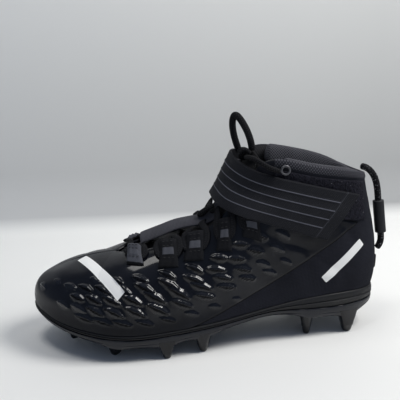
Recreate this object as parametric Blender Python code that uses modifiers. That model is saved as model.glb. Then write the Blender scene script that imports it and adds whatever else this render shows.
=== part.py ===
"""American football cleat, the left shoe, as separate sub-parts. Metres, +Z up, toe at +X, lateral at +Y."""
import math
from collections import namedtuple

import bmesh
import bpy
import numpy as np
from mathutils import Vector
from mathutils.bvhtree import BVHTree

# Driving dimensions
LENGTH = 0.300             # heel seat to toe tip, along the upper's lower edge
BALL_WIDTH = 0.103         # across the upper's lower edge at the ball
UPPER_HEIGHT = 0.124       # collar's front above the sole line
THROAT_WIDTH = 0.046       # between the two eyestays at the instep
THROAT_END = 0.12          # share of it at which the throat's front end is rounded off
STUD_HEIGHT = 0.0100       # floor to the underside of the plate at the ball
TOE_SPRING = 0.0190        # rise of the plate's underside at the toe tip
PLATE_HEIGHT = 0.0115      # outsole plate under the heel
FOAM_HEIGHT = 0.0120       # midsole under the heel
INSOLE_THICKNESS = 0.0035
UPPER_WALL = 0.0022
SKIN_STEP = 0.0008         # moulded forefoot skin above the quarter's cloth
TONGUE_WALL = 0.0040
PADDING_THICKNESS = 0.0060
PADDING_DEPTH = 0.0200
STRAP_WALL = 0.0020
TAB_WIDTH = 0.0165         # webbing lace loop, along the eyestay
TAB_WALL = 0.0030
PATCH_WALL = 0.0012        # loop fastener on the ankle
LACE_WIDTH = 0.0068        # flat lace over the throat
LACE_WALL = 0.0024
LACE_DIAMETER = 0.0040     # the same lace where it is pulled into a round cord
PULL_CORD_DIAMETER = 0.0058
SLEEVE_DIAMETER = 0.0098
EYELET_DIAMETER = 0.0085
EYELET_WIRE = 0.0018
WEBBING_WALL = 0.0016      # strip on the heel
SOLE_RIM = 0.0010          # the sole's rim stands this far outside the upper
PLATE_TUCK = 0.0032        # the plate's lower edge lies this far inside its rim
STUD_BASE_LENGTH = 0.0200
STUD_BASE_WIDTH = 0.0135
STUD_TIP_SHARE = 0.42
CLEARANCE = 0.0003         # between pieces that touch on the real shoe

# Numbers of facets
ROW_STEPS = 3              # columns of the upper for each row of the table
LEVELS = 10                # rings of the upper, sole line to top edge

# A row for each section of the upper, heel to toe. Lengths are shares of LENGTH, widths of BALL_WIDTH,
# heights of UPPER_HEIGHT and opening of THROAT_WIDTH. rise and drop are shares of the section's own height,
# reach is a share of its run from foot to top, and bulge and lean are shares of BALL_WIDTH.
Section = namedtuple("Section", "foot lateral medial top middle opening height tilt rise bulge reach drop lean")
SECTIONS = [
    Section(-0.003, 0.000, 0.000, 0.045, 0.000, 0.00, 0.815, 0.000, 0.32, 0.072, 0.00, 0.36, 0.100),
    Section(0.016, 0.160, 0.150, 0.053, 0.000, 0.62, 0.823, 0.000, 0.32, 0.075, 0.00, 0.36, 0.060),
    Section(0.074, 0.268, 0.255, 0.092, 0.000, 1.12, 0.855, 0.010, 0.32, 0.050, 0.00, 0.36, 0.005),
    Section(0.150, 0.318, 0.296, 0.156, 0.000, 1.30, 0.895, 0.026, 0.32, 0.035, 0.00, 0.36, -0.020),
    Section(0.240, 0.330, 0.292, 0.230, 0.000, 1.38, 0.927, 0.032, 0.32, 0.030, 0.00, 0.35, -0.025),
    Section(0.327, 0.344, 0.280, 0.300, 0.000, 1.38, 0.968, 0.024, 0.34, 0.030, 0.02, 0.34, -0.015),
    Section(0.400, 0.368, 0.290, 0.357, 0.000, 1.24, 0.976, 0.020, 0.36, 0.028, 0.06, 0.32, 0.000),
    Section(0.467, 0.408, 0.322, 0.392, 0.000, 1.08, 0.871, 0.010, 0.38, 0.025, 0.14, 0.30, 0.000),
    Section(0.533, 0.440, 0.360, 0.430, 0.000, 1.00, 0.710, 0.000, 0.42, 0.022, 0.26, 0.26, 0.000),
    Section(0.600, 0.470, 0.404, 0.484, 0.000, 0.95, 0.532, 0.000, 0.46, 0.020, 0.36, 0.18, 0.000),
    Section(0.667, 0.495, 0.447, 0.563, 0.000, 0.88, 0.431, 0.000, 0.52, 0.018, 0.46, 0.10, 0.000),
    Section(0.727, 0.502, 0.480, 0.653, 0.000, 0.76, 0.375, 0.000, 0.56, 0.016, 0.52, 0.05, 0.000),
    Section(0.783, 0.482, 0.490, 0.722, -0.004, 0.66, 0.339, 0.000, 0.60, 0.016, 0.56, 0.00, 0.000),
    Section(0.833, 0.432, 0.472, 0.768, -0.010, 0.00, 0.315, 0.000, 0.62, 0.016, 0.58, 0.00, 0.000),
    Section(0.880, 0.358, 0.432, 0.806, -0.026, 0.00, 0.302, 0.000, 0.64, 0.016, 0.60, 0.00, 0.000),
    Section(0.924, 0.262, 0.370, 0.838, -0.046, 0.00, 0.286, 0.000, 0.66, 0.016, 0.62, 0.00, 0.000),
    Section(0.962, 0.140, 0.282, 0.866, -0.064, 0.00, 0.266, 0.000, 0.68, 0.018, 0.64, 0.00, 0.000),
    Section(0.989, 0.018, 0.182, 0.884, -0.078, 0.00, 0.250, 0.000, 0.70, 0.018, 0.64, 0.00, 0.000),
    Section(0.999, -0.082, 0.082, 0.892, -0.082, 0.00, 0.242, 0.000, 0.70, 0.018, 0.64, 0.00, 0.000),
]
LAST = len(SECTIONS) - 1

# A row for each section of the sole, at the same places. under is the rise of the plate's underside as a
# share of TOE_SPRING, plate and foam are shares of PLATE_HEIGHT and FOAM_HEIGHT.
Sole = namedtuple("Sole", "under plate foam")
SOLES = [
    Sole(0.62, 0.55, 0.72), Sole(0.50, 0.70, 0.80), Sole(0.34, 0.96, 0.92), Sole(0.28, 1.00, 1.00),
    Sole(0.48, 0.66, 0.84), Sole(0.74, 0.40, 0.34), Sole(0.58, 0.42, 0.27), Sole(0.36, 0.54, 0.27),
    Sole(0.18, 0.66, 0.29), Sole(0.07, 0.76, 0.29), Sole(0.00, 0.80, 0.29), Sole(0.02, 0.74, 0.29),
    Sole(0.12, 0.66, 0.29), Sole(0.26, 0.58, 0.29), Sole(0.40, 0.50, 0.27), Sole(0.56, 0.44, 0.25),
    Sole(0.74, 0.38, 0.25), Sole(0.92, 0.30, 0.25), Sole(1.00, 0.26, 0.25),
]

# Studs under the plate: along and across as shares of LENGTH and BALL_WIDTH, size against the largest,
# turn in degrees, and lift of the tip off the floor as a share of STUD_HEIGHT
Stud = namedtuple("Stud", "name along across size turn lift")
STUDS = [
    Stud("heel_lateral", 0.100, 0.215, 1.25, 78, 0.0), Stud("heel_medial", 0.100, -0.195, 1.25, 102, 0.0),
    Stud("arch_lateral", 0.222, 0.220, 0.90, 60, 0.0), Stud("arch_medial", 0.222, -0.185, 0.90, 120, 0.0),
    Stud("waist_lateral", 0.534, 0.375, 1.00, 65, 0.0), Stud("waist_medial", 0.540, -0.280, 1.00, 115, 0.0),
    Stud("ball_lateral", 0.636, 0.435, 1.00, 80, 0.0), Stud("ball_medial", 0.645, -0.380, 1.00, 100, 0.0),
    Stud("fore_lateral", 0.773, 0.325, 0.90, 50, 0.0), Stud("fore_medial", 0.778, -0.390, 0.90, 130, 0.0),
    Stud("ball_middle", 0.690, 0.020, 0.70, 90, 0.1), Stud("fore_middle", 0.835, 0.100, 0.65, 0, 0.1),
    Stud("toe", 0.890, 0.045, 0.75, 20, 0.25),
]

# The strap from its lateral end round the front of the ankle to its medial end. low and high are the two
# edges, along as shares of LENGTH, up as shares of UPPER_HEIGHT above the sole line, across of BALL_WIDTH.
Fold = namedtuple("Fold", "low_along low_up high_along high_up across")
STRAP = [
    Fold(0.178, 0.400, 0.082, 0.690, 0.250),
    Fold(0.250, 0.455, 0.175, 0.740, 0.270),
    Fold(0.330, 0.520, 0.275, 0.800, 0.285),
    Fold(0.400, 0.580, 0.358, 0.850, 0.290),
    Fold(0.450, 0.630, 0.402, 0.895, 0.250),
    Fold(0.480, 0.675, 0.424, 0.935, 0.140),
    Fold(0.488, 0.695, 0.430, 0.965, 0.000),
    Fold(0.480, 0.690, 0.424, 0.980, -0.140),
    Fold(0.445, 0.670, 0.400, 0.970, -0.250),
    Fold(0.380, 0.635, 0.350, 0.935, -0.285),
    Fold(0.300, 0.595, 0.275, 0.890, -0.285),
    Fold(0.220, 0.565, 0.205, 0.850, -0.280),
]

# Webbing lace loops on each eyestay, front to back: place along the sections, and the levels of the ends
Tab = namedtuple("Tab", "place low high")
TABS = [
    Tab(11.75, 0.75, 0.91), Tab(10.50, 0.62, 0.90), Tab(9.50, 0.60, 0.89), Tab(8.30, 0.57, 0.86),
    Tab(6.95, 0.50, 0.71),
]

# Routes of the cords, by hand: along and across as shares of LENGTH and BALL_WIDTH, up of UPPER_HEIGHT
Route = namedtuple("Route", "along across up")
TONGUE_LOOP = [
    Route(0.379, 0.080, 0.991), Route(0.383, 0.088, 1.050), Route(0.394, 0.072, 1.130),
    Route(0.412, 0.030, 1.210), Route(0.424, -0.012, 1.235), Route(0.428, -0.052, 1.165),
    Route(0.418, -0.078, 1.060), Route(0.402, -0.080, 0.960),
]
HEEL_LOOP_TOP = [
    Route(0.046, 0.000, 0.850), Route(0.024, 0.000, 0.838), Route(0.000, 0.000, 0.775),
    Route(-0.010, 0.000, 0.690), Route(-0.014, 0.000, 0.610),
]
HEEL_LOOP_FOOT = [
    Route(-0.030, 0.000, 0.345), Route(-0.032, 0.000, 0.300), Route(-0.028, 0.000, 0.262),
    Route(-0.019, 0.000, 0.235),
]
LACE_END = [
    Route(0.405, 0.170, 0.955), Route(0.396, 0.245, 0.965), Route(0.380, 0.318, 0.945),
    Route(0.358, 0.352, 0.905), Route(0.326, 0.350, 0.880),
]
LACE_KNOT = [
    Route(0.414, 0.030, 0.968), Route(0.408, 0.040, 0.998), Route(0.395, 0.050, 0.998),
    Route(0.388, 0.059, 0.968), Route(0.395, 0.068, 0.938), Route(0.408, 0.078, 0.938),
    Route(0.415, 0.087, 0.968), Route(0.408, 0.097, 0.998), Route(0.395, 0.107, 0.998),
    Route(0.388, 0.117, 0.968),
]
LACE_BOW = [
    Route(0.490, 0.140, 0.640), Route(0.506, 0.136, 0.622), Route(0.525, 0.126, 0.592),
    Route(0.533, 0.116, 0.570), Route(0.524, 0.105, 0.568), Route(0.508, 0.095, 0.596),
    Route(0.491, 0.090, 0.642),
]

MODEL = bpy.data.collections.new("american_football_cleat")
CUTTERS = bpy.data.collections.new("cutters")


# Materials

def material(name, colour, roughness, metallic=0.0):
    """Return a plain Principled material with a linear colour."""
    made = bpy.data.materials.new(name)
    made.use_nodes = True
    shader = made.node_tree.nodes["Principled BSDF"]
    shader.inputs["Base Color"].default_value = (*colour, 1.0)
    shader.inputs["Roughness"].default_value = roughness
    shader.inputs["Metallic"].default_value = metallic
    return made


# Blends of the tables

def spline(values, at, closed=True):
    """Uniform cubic B-spline through the rows of values, smooth in its curvature."""
    count = len(values)
    index = math.floor(at)
    step = at - index
    weights = (
        (1 - step) ** 3 / 6,
        (3 * step ** 3 - 6 * step ** 2 + 4) / 6,
        (-3 * step ** 3 + 3 * step ** 2 + 3 * step + 1) / 6,
        step ** 3 / 6,
    )
    total = 0.0
    for offset, weight in zip((-1, 0, 1, 2), weights):
        row = index + offset
        row = row % count if closed else min(max(row, 0), count - 1)
        total = total + values[row] * weight
    return total


def around(lateral, medial):
    """Rows of a whole turn: lateral from heel to toe, then medial back to the heel."""
    return np.array(list(lateral) + list(medial)[-2:0:-1])


def column(rows, name):
    """Rows of one column for a whole turn, the same on both sides."""
    values = [getattr(row, name) for row in rows]
    return around(values, values)


TURN = 2 * LAST
COLUMNS = {name: column(SECTIONS, name) for name in Section._fields}
SOLE_COLUMNS = {name: column(SOLES, name) for name in Sole._fields}
SIDE = around([row.lateral for row in SECTIONS], [-row.medial for row in SECTIONS])
OPENING_SIDE = around([row.opening for row in SECTIONS], [-row.opening for row in SECTIONS])
TILT_SIDE = around([-row.tilt for row in SECTIONS], [row.tilt for row in SECTIONS])


def plate_bottom(turn):
    """Height of the plate's underside."""
    return STUD_HEIGHT + TOE_SPRING * spline(SOLE_COLUMNS["under"], turn)


def plate_top(turn):
    """Height of the plate's upper face."""
    return plate_bottom(turn) + PLATE_HEIGHT * spline(SOLE_COLUMNS["plate"], turn)


def sole_line(turn):
    """Height of the midsole's upper face, which carries the upper."""
    return plate_top(turn) + CLEARANCE + FOAM_HEIGHT * spline(SOLE_COLUMNS["foam"], turn)


def foot_plan(turn):
    """Point of the upper's lower edge in plan."""
    return np.array([LENGTH * spline(COLUMNS["foot"], turn), BALL_WIDTH * spline(SIDE, turn)])


def foot_normal(turn):
    """Outward direction of the lower edge in plan."""
    along = foot_plan(turn + 0.05) - foot_plan(turn - 0.05)
    along /= np.linalg.norm(along)
    return np.array([-along[1], along[0]])


def outline(turn, offset):
    """Plan outline of the sole, offset outward from the upper's lower edge."""
    return foot_plan(turn) + foot_normal(turn) * offset


def top_slope(turn):
    """Rise of the top edge for each unit along the shoe."""
    step = 0.02
    place = min(turn % TURN, TURN - turn % TURN)
    place = min(max(place, 0.1), LAST - 0.1)
    ahead, behind = place + step, place - step
    rise = UPPER_HEIGHT * (spline(COLUMNS["height"], ahead) - spline(COLUMNS["height"], behind))
    along = LENGTH * (spline(COLUMNS["top"], ahead) - spline(COLUMNS["top"], behind))
    return rise / along


def throat_share(turn):
    """Half opening of the top edge as a share, positive on the lateral side, with a round front end."""
    share = spline(OPENING_SIDE, turn)
    rounded = share * share - THROAT_END * THROAT_END
    front = LAST * 0.5 < turn % TURN < LAST * 1.5
    if not front:
        return share
    return math.copysign(math.sqrt(rounded), share) if rounded > 0 else 0.0


def handles(turn):
    """Four control points of the section's curve, from the sole line to the top edge."""
    row = {name: spline(values, turn) for name, values in COLUMNS.items()}
    foot = np.array([*foot_plan(turn), sole_line(turn) + CLEARANCE])
    opening = 0.5 * THROAT_WIDTH * throat_share(turn)
    base = sole_line(0.0)
    height = UPPER_HEIGHT * (row["height"] + spline(TILT_SIDE, turn))
    top = np.array([LENGTH * row["top"], BALL_WIDTH * row["middle"] + opening, base + height])
    out = np.array([*foot_normal(turn), 0.0])
    up = np.array([0.0, 0.0, top[2] - foot[2]])
    run = np.array([foot[0] - top[0], foot[1] - top[1], 0.0])
    run[2] = run[0] * top_slope(turn)
    low = foot + up * row["rise"] + out * row["bulge"] * BALL_WIDTH
    high = top + run * row["reach"] - up * row["drop"] + out * row["lean"] * BALL_WIDTH
    return foot, low, high, top


def form(turn, level):
    """Point of the upper's outer form, level 0 at the sole line and 1 at the top edge."""
    foot, low, high, top = handles(turn)
    rest = 1 - level
    return (foot * rest ** 3 + low * 3 * rest ** 2 * level
            + high * 3 * rest * level ** 2 + top * level ** 3)


def form_frame(turn, level):
    """Point, direction along the shoe, direction up the section and outward normal."""
    point = form(turn, level)
    level = min(max(level, 0.01), 0.99) if 0 <= level <= 1 else level
    along = form(turn + 0.03, level) - form(turn - 0.03, level)
    upward = form(turn, level + 0.01) - form(turn, level - 0.01)
    normal = np.cross(upward, along)
    return (point, along / np.linalg.norm(along), upward / np.linalg.norm(upward),
            normal / np.linalg.norm(normal))


def seam_height(along):
    """Height of the slanting seam between forefoot skin and quarter, at a distance from the heel."""
    share = min(max((along / LENGTH - 0.15) / 0.44, 0.0), 1.0)
    return sole_line(0.0) + UPPER_HEIGHT * (0.405 - 0.530 * share - 0.145 * share * (1 - share))


def skin_share(point):
    """1 on the moulded forefoot skin, 0 on the quarter behind its seam."""
    strap_middle = sole_line(0.0) + UPPER_HEIGHT * (0.56 + 0.75 * (point[0] / LENGTH - 0.17))
    over_seam = (point[2] - seam_height(point[0])) / 0.002
    under_strap = (strap_middle - point[2]) / 0.002
    if point[0] / LENGTH > 0.42:
        under_strap = 1.0
    return min(max(min(over_seam, under_strap), 0.0), 1.0)


def skin(turn, level, lift=0.0):
    """Point of the upper's finished outer face, with the step of the forefoot skin."""
    point, _, _, normal = form_frame(turn, level)
    if throat_share(turn) == 0.0:
        normal = normal + form_frame(TURN - turn, level)[3] * level ** 8
        normal /= np.linalg.norm(normal)
    return point + normal * (SKIN_STEP * skin_share(point) + lift)


# Meshes

def add_object(name, mesh, made_of):
    """Put a mesh into the model as one named object."""
    part = bpy.data.objects.new(name, mesh)
    MODEL.objects.link(part)
    mesh.materials.append(made_of)
    return part


def mesh_of(name, points, faces):
    """Mesh from points and faces, with doubles merged and its faces pointing out."""
    mesh = bpy.data.meshes.new(name)
    mesh.from_pydata([tuple(point) for point in points], [], faces)
    shape = bmesh.new()
    shape.from_mesh(mesh)
    bmesh.ops.remove_doubles(shape, verts=shape.verts, dist=0.00005)
    bmesh.ops.dissolve_degenerate(shape, edges=shape.edges, dist=0.00005)
    bmesh.ops.recalc_face_normals(shape, faces=shape.faces)
    shape.to_mesh(mesh)
    shape.free()
    return mesh


def grid_faces(columns, rows, closed=False):
    """Quads between the points of a grid, stored column by column."""
    faces = []
    for i in range(columns if closed else columns - 1):
        for j in range(rows - 1):
            a = i * rows + j
            b = ((i + 1) % columns) * rows + j
            faces.append((a, b, b + 1, a + 1))
    return faces


def solidify(part, thickness):
    """Give an open sheet its thickness, on the side away from its normals."""
    wall = part.modifiers.new("wall", "SOLIDIFY")
    wall.thickness = thickness
    wall.offset = -1.0
    wall.use_even_offset = True
    wall.use_quality_normals = True
    return wall


def two_faced(name, outer, inner, made_of):
    """Closed piece between an outer and an inner grid of points, both indexed [column][row]."""
    columns, rows = len(outer), len(outer[0])
    points = [p for strip in outer for p in strip] + [p for strip in inner for p in strip]
    back = columns * rows
    faces = grid_faces(columns, rows)
    faces += [tuple(back + k for k in reversed(face)) for face in grid_faces(columns, rows)]
    rim = [i * rows for i in range(columns)]
    rim += [(columns - 1) * rows + j for j in range(1, rows)]
    rim += [i * rows + rows - 1 for i in range(columns - 2, -1, -1)]
    rim += [j for j in range(rows - 2, 0, -1)]
    for here, there in zip(rim, rim[1:] + rim[:1]):
        faces.append((there, here, back + here, back + there))
    return add_object(name, mesh_of(name, points, faces), made_of)


def ringed(name, rings, made_of):
    """Closed piece from rings of points, round the sole's outline, capped strip by strip."""
    count = len(rings[0])
    points = [p for ring in rings for p in ring]
    faces = []
    for k in range(len(rings) - 1):
        for i in range(count):
            j = (i + 1) % count
            faces.append((k * count + i, k * count + j, (k + 1) * count + j, (k + 1) * count + i))
    for first in (0, (len(rings) - 1) * count):
        half = count // 2
        for i in range(half):
            corners = [first + i, first + i + 1, first + (count - i - 1) % count, first + (count - i) % count]
            faces.append(tuple(dict.fromkeys(corners)))
    return add_object(name, mesh_of(name, points, faces), made_of)


def sole_ring(height, offset):
    """Ring of points round the sole at a height given by a function of the turn."""
    turns = [TURN * k / (TURN * 2) for k in range(TURN * 2)]
    return [(*outline(turn, offset), height(turn)) for turn in turns]


def cord(name, route, diameter, made_of, spacing=2.2):
    """Tube along a smooth curve through the route's own points."""
    knots = np.array([
        (LENGTH * stop.along, BALL_WIDTH * stop.across, sole_line(0.0) + UPPER_HEIGHT * stop.up)
        for stop in route
    ])
    length = float(np.sum(np.linalg.norm(np.diff(knots, axis=0), axis=1)))
    count = max(3, int(round(length / (diameter * spacing))) + 1)
    path = [spline(knots, (len(knots) - 1) * k / (count - 1), closed=False) for k in range(count)]
    path[0], path[-1] = knots[0], knots[-1]
    return tube(name, path, diameter, made_of)


def tube(name, path, diameter, made_of, resolution=2):
    """Round tube along given points, with filled caps, as a welded mesh."""
    curve = bpy.data.curves.new(name, "CURVE")
    curve.dimensions = "3D"
    curve.bevel_depth = diameter / 2
    curve.bevel_resolution = resolution
    curve.use_fill_caps = True
    line = curve.splines.new("POLY")
    line.points.add(len(path) - 1)
    for point, place in zip(line.points, path):
        point.co = (*place, 1.0)
    bent = bpy.data.objects.new(name, curve)
    MODEL.objects.link(bent)
    return welded(bent, made_of)


def welded(bent, made_of):
    """Replace a curve object by a mesh object whose caps are welded."""
    bpy.context.view_layer.update()
    name = bent.name
    mesh = bpy.data.meshes.new_from_object(bent.evaluated_get(bpy.context.evaluated_depsgraph_get()))
    bpy.data.objects.remove(bent)
    shape = bmesh.new()
    shape.from_mesh(mesh)
    bmesh.ops.remove_doubles(shape, verts=shape.verts, dist=0.00005)
    bmesh.ops.recalc_face_normals(shape, faces=shape.faces)
    shape.to_mesh(mesh)
    shape.free()
    mesh.name = name
    mesh.materials.clear()
    return add_object(name, mesh, made_of)


def join_by_union(base, pieces):
    """Fuse pieces into the base object with exact Boolean unions, then drop the pieces."""
    for piece in pieces:
        MODEL.objects.unlink(piece)
        CUTTERS.objects.link(piece)
        piece.hide_render = True
        piece.display_type = "WIRE"
        fuse = base.modifiers.new(piece.name, "BOOLEAN")
        fuse.operation = "UNION"
        fuse.solver = "EXACT"
        fuse.object = piece


# Pieces of the sole

def make_stud(row):
    """One stud: a tapered blade, its flat tip on the floor and its root inside the plate."""
    turn = turn_at(row.along * LENGTH, 1 if row.across >= 0 else -1)
    tip = STUD_HEIGHT * row.lift
    root = (plate_bottom(turn) + plate_top(turn)) / 2
    bpy.ops.mesh.primitive_cone_add(
        vertices=10, radius1=STUD_TIP_SHARE, radius2=1.0, depth=1.0,
        location=(row.along * LENGTH, row.across * BALL_WIDTH, (tip + root) / 2),
        rotation=(0.0, 0.0, math.radians(row.turn)),
    )
    stud = bpy.context.object
    stud.name = "stud_" + row.name
    stud.scale = (STUD_BASE_LENGTH / 2 * row.size, STUD_BASE_WIDTH / 2 * row.size, root - tip)
    bpy.ops.object.transform_apply(location=False, rotation=True, scale=True)
    for owner in list(stud.users_collection):
        owner.objects.unlink(stud)
    MODEL.objects.link(stud)
    return stud


def turn_at(along, side):
    """Turn of the section whose lower edge lies at a distance from the heel, on one side."""
    low, high = 0.0, float(LAST)
    for _ in range(30):
        middle = (low + high) / 2
        if foot_plan(middle)[0] < along:
            low = middle
        else:
            high = middle
    return low if side > 0 else TURN - low


def make_outsole(made_of):
    """Plate with a rounded lower edge and its studs, moulded in one."""
    rings = [
        sole_ring(plate_top, SOLE_RIM),
        sole_ring(lambda turn: 0.55 * plate_top(turn) + 0.45 * plate_bottom(turn), SOLE_RIM * 0.4),
        sole_ring(lambda turn: 0.12 * plate_top(turn) + 0.88 * plate_bottom(turn), SOLE_RIM - PLATE_TUCK),
        sole_ring(plate_bottom, SOLE_RIM - PLATE_TUCK * 1.8),
    ]
    plate = ringed("outsole_plate", rings, made_of)
    join_by_union(plate, [make_stud(row) for row in STUDS])
    return plate


def make_midsole(made_of):
    """Foam wedge between plate and upper, with one groove round its side."""
    def share(part):
        return lambda turn: plate_top(turn) + CLEARANCE + part * (
            sole_line(turn) - plate_top(turn) - CLEARANCE)
    rings = [
        sole_ring(share(0.0), SOLE_RIM),
        sole_ring(share(0.40), SOLE_RIM * 1.3),
        sole_ring(share(0.50), SOLE_RIM * 0.5),
        sole_ring(share(0.60), SOLE_RIM * 1.3),
        sole_ring(share(1.0), SOLE_RIM * 0.6),
    ]
    return ringed("midsole", rings, made_of)


def make_insole(made_of):
    """Loose sockliner on the midsole, inside the upper."""
    inset = -(UPPER_WALL + 2 * CLEARANCE)
    rings = [
        sole_ring(lambda turn: sole_line(turn) + CLEARANCE, inset),
        sole_ring(lambda turn: sole_line(turn) + CLEARANCE + INSOLE_THICKNESS, inset - CLEARANCE),
    ]
    return ringed("insole", rings, made_of)


# Upper and the pieces that follow its form

def make_upper(made_of):
    """Hollow upper: one wall, open under the foot, at the throat and at the collar."""
    columns = TURN * ROW_STEPS
    points = []
    for i in range(columns):
        for j in range(LEVELS + 1):
            points.append(skin(i / ROW_STEPS, j / LEVELS))
    mesh = mesh_of("upper", points, grid_faces(columns, LEVELS + 1, closed=True))
    upper = add_object("upper", mesh, made_of)
    solidify(upper, UPPER_WALL)
    return upper


def make_patch(name, turns, levels, lift, wall, made_of):
    """Thin piece lying on the upper's outer face, between two turns and two levels."""
    outer = [[skin(turn, level, lift + wall) for level in levels] for turn in turns]
    inner = [[skin(turn, level, lift) for level in levels] for turn in turns]
    return two_faced(name, outer, inner, made_of)


def spread(first, last, count):
    """Even numbers from first to last."""
    return [first + (last - first) * k / (count - 1) for k in range(count)]


def make_tabs(made_of):
    """Webbing lace loops along both eyestays, one object each."""
    tabs = []
    for number, tab in enumerate(TABS, 1):
        for side, turn in (("lateral", tab.place), ("medial", TURN - tab.place)):
            step = np.linalg.norm(form(turn + 0.5, tab.low) - form(turn - 0.5, tab.low))
            half = TAB_WIDTH / 2 / step
            turns = spread(turn - half, turn + half, 4)
            levels = spread(tab.low, tab.high, 5)
            outer = [[skin(t, level, CLEARANCE * 2 + TAB_WALL) for level in levels] for t in turns]
            inner = [[skin(t, level, CLEARANCE * 2) for level in levels] for t in turns]
            tabs.append(two_faced("lace_loop_%s_%d" % (side, number), outer, inner, made_of))
    return tabs


def crown_direction(place):
    """Direction that the tongue faces at a place, square across the shoe."""
    step = 0.05
    edge = form(place + step, 1.0) - form(place - step, 1.0)
    facing = np.array([-edge[2], 0.0, edge[0]])
    return facing / np.linalg.norm(facing)


def tongue_point(place, across):
    """Point of the tongue's outer face, across from 1 under the lateral eyestay to -1 medial."""
    turn = place if across >= 0 else TURN - place
    edge = skin(turn, 0.99, -UPPER_WALL - 5 * CLEARANCE)
    other = skin(TURN - turn, 0.99, -UPPER_WALL - 5 * CLEARANCE)
    under = skin(turn, 0.90, -UPPER_WALL - 5 * CLEARANCE)
    share = abs(across)
    if share > 0.75:
        step = (share - 0.75) / 0.25
        point = edge + (under - edge) * step
    else:
        middle = (edge + other) / 2
        width = np.linalg.norm(edge - other)
        point = middle + (edge - middle) * share / 0.75
        point = point + crown_direction(place) * width * 0.10 * (1 - (share / 0.75) ** 2)
    return point


def make_tongue(made_of):
    """Padded tongue under the eyestays, rising above the collar."""
    places = spread(12.6, 6.6, 15)
    acrosses = [1.0, 0.88, 0.75, 0.5, 0.25, 0.0, -0.25, -0.5, -0.75, -0.88, -1.0]
    rows = [[tongue_point(place, across) for across in acrosses] for place in places]
    rise = np.array([-0.10, 0.0, 1.0])
    rise /= np.linalg.norm(rise)
    for step in (0.35, 0.70, 1.0):
        top = []
        for across, point in zip(acrosses, rows[14]):
            pull = 1 - 0.12 * step
            height = 0.07 * UPPER_HEIGHT * step * (1 - 0.25 * abs(across) ** 2)
            top.append(np.array([point[0], point[1] * pull, point[2]]) + rise * height)
        rows.append(top)
    points = [point for row in rows for point in row]
    mesh = mesh_of("tongue", points, grid_faces(len(rows), len(acrosses)))
    shape = bmesh.new()
    shape.from_mesh(mesh)
    shape.faces.ensure_lookup_table()
    middle = shape.faces[len(shape.faces) // 2]
    if middle.normal.z < 0:
        bmesh.ops.reverse_faces(shape, faces=shape.faces)
    shape.to_mesh(mesh)
    shape.free()
    tongue = add_object("tongue", mesh, made_of)
    solidify(tongue, TONGUE_WALL).use_even_offset = False
    return tongue


def make_padding(made_of):
    """Padded lining rolled round the inside of the collar."""
    turns = spread(-5.3, 5.3, 33)
    around_section = [math.radians(angle) for angle in range(0, 360, 45)]
    columns = []
    for turn in turns:
        turn = turn % TURN
        point, _, upward, normal = form_frame(turn, 0.97)
        depth = PADDING_DEPTH / 2
        reach = UPPER_WALL + 2 * CLEARANCE + PADDING_THICKNESS / 2
        centre = point - normal * reach - upward * (depth * 0.45)
        columns.append([
            centre + normal * math.cos(angle) * PADDING_THICKNESS / 2 + upward * math.sin(angle) * depth
            for angle in around_section
        ])
    count = len(around_section)
    points = [point for strip in columns for point in strip]
    faces = []
    for i in range(len(columns) - 1):
        for j in range(count):
            k = (j + 1) % count
            faces.append((i * count + j, i * count + k, (i + 1) * count + k, (i + 1) * count + j))
    faces.append(tuple(range(count)))
    faces.append(tuple((len(columns) - 1) * count + j for j in reversed(range(count))))
    return add_object("collar_padding", mesh_of("collar_padding", points, faces), made_of)


def tree_of(parts):
    """Search tree of the faces of finished pieces."""
    graph = bpy.context.evaluated_depsgraph_get()
    graph.update()
    points, faces = [], []
    for part in parts:
        shaped = part.evaluated_get(graph).data
        first = len(points)
        points += [vertex.co.copy() for vertex in shaped.vertices]
        faces += [[first + corner for corner in face.vertices] for face in shaped.polygons]
    return BVHTree.FromPolygons(points, faces)


def strap_point(at, step):
    """Point of the strap's table, at rows along it and step from its lower to its upper edge."""
    rows = np.array([list(row) for row in STRAP])
    low_along, low_up, high_along, high_up, across = spline(rows, at, closed=False)
    return np.array([
        LENGTH * (low_along + (high_along - low_along) * step), BALL_WIDTH * across,
        sole_line(0.0) + UPPER_HEIGHT * (low_up + (high_up - low_up) * step),
    ])


def strap_normal(at):
    """Outward direction of the strap in plan."""
    along = strap_point(at + 0.2, 0.5) - strap_point(at - 0.2, 0.5)
    along /= math.hypot(along[0], along[1])
    return np.array([-along[1], along[0], 0.0])


def push_out(tree, point, normal):
    """How far a point has to move along a direction to clear the pieces under it."""
    hit = tree.ray_cast(Vector(point + normal * BALL_WIDTH), Vector(-normal), BALL_WIDTH * 1.05)
    return max(0.0, BALL_WIDTH - hit[3] + 3 * CLEARANCE) if hit[0] is not None else 0.0


def eased(pushes):
    """The same distances with their dips along the strap filled in."""
    for _ in range(4):
        pushes = [
            [max(own, (before + after) / 2) for own, before, after in zip(*strips)]
            for strips in zip(pushes, pushes[:1] + pushes[:-1], pushes[1:] + pushes[-1:])
        ]
    return pushes


def make_strap(under, made_of):
    """Elastic ankle strap, laid over the pieces under it from the lateral to the medial quarter."""
    tree = tree_of(under)
    columns, rows = 34, 5
    cell = (len(STRAP) - 1) / (columns - 1)
    pushes = []
    for k in range(columns):
        normal = strap_normal(k * cell)
        pushes.append([
            max(push_out(tree, strap_point((k + right) * cell, step + up / rows), normal)
                for right in (-0.6, -0.3, 0.0, 0.3, 0.6) for up in (-0.6, -0.3, 0.0, 0.3, 0.6))
            for step in spread(0.0, 1.0, rows)
        ])
    outer, inner = [], []
    for k, strip in enumerate(eased(pushes)):
        normal = strap_normal(k * cell)
        inner.append([
            strap_point(k * cell, step) + normal * push for step, push in zip(spread(0.0, 1.0, rows), strip)
        ])
        outer.append([point + normal * STRAP_WALL for point in inner[k]])
    return two_faced("ankle_strap", outer, inner, made_of)


# Laces, cords and small trim

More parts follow.
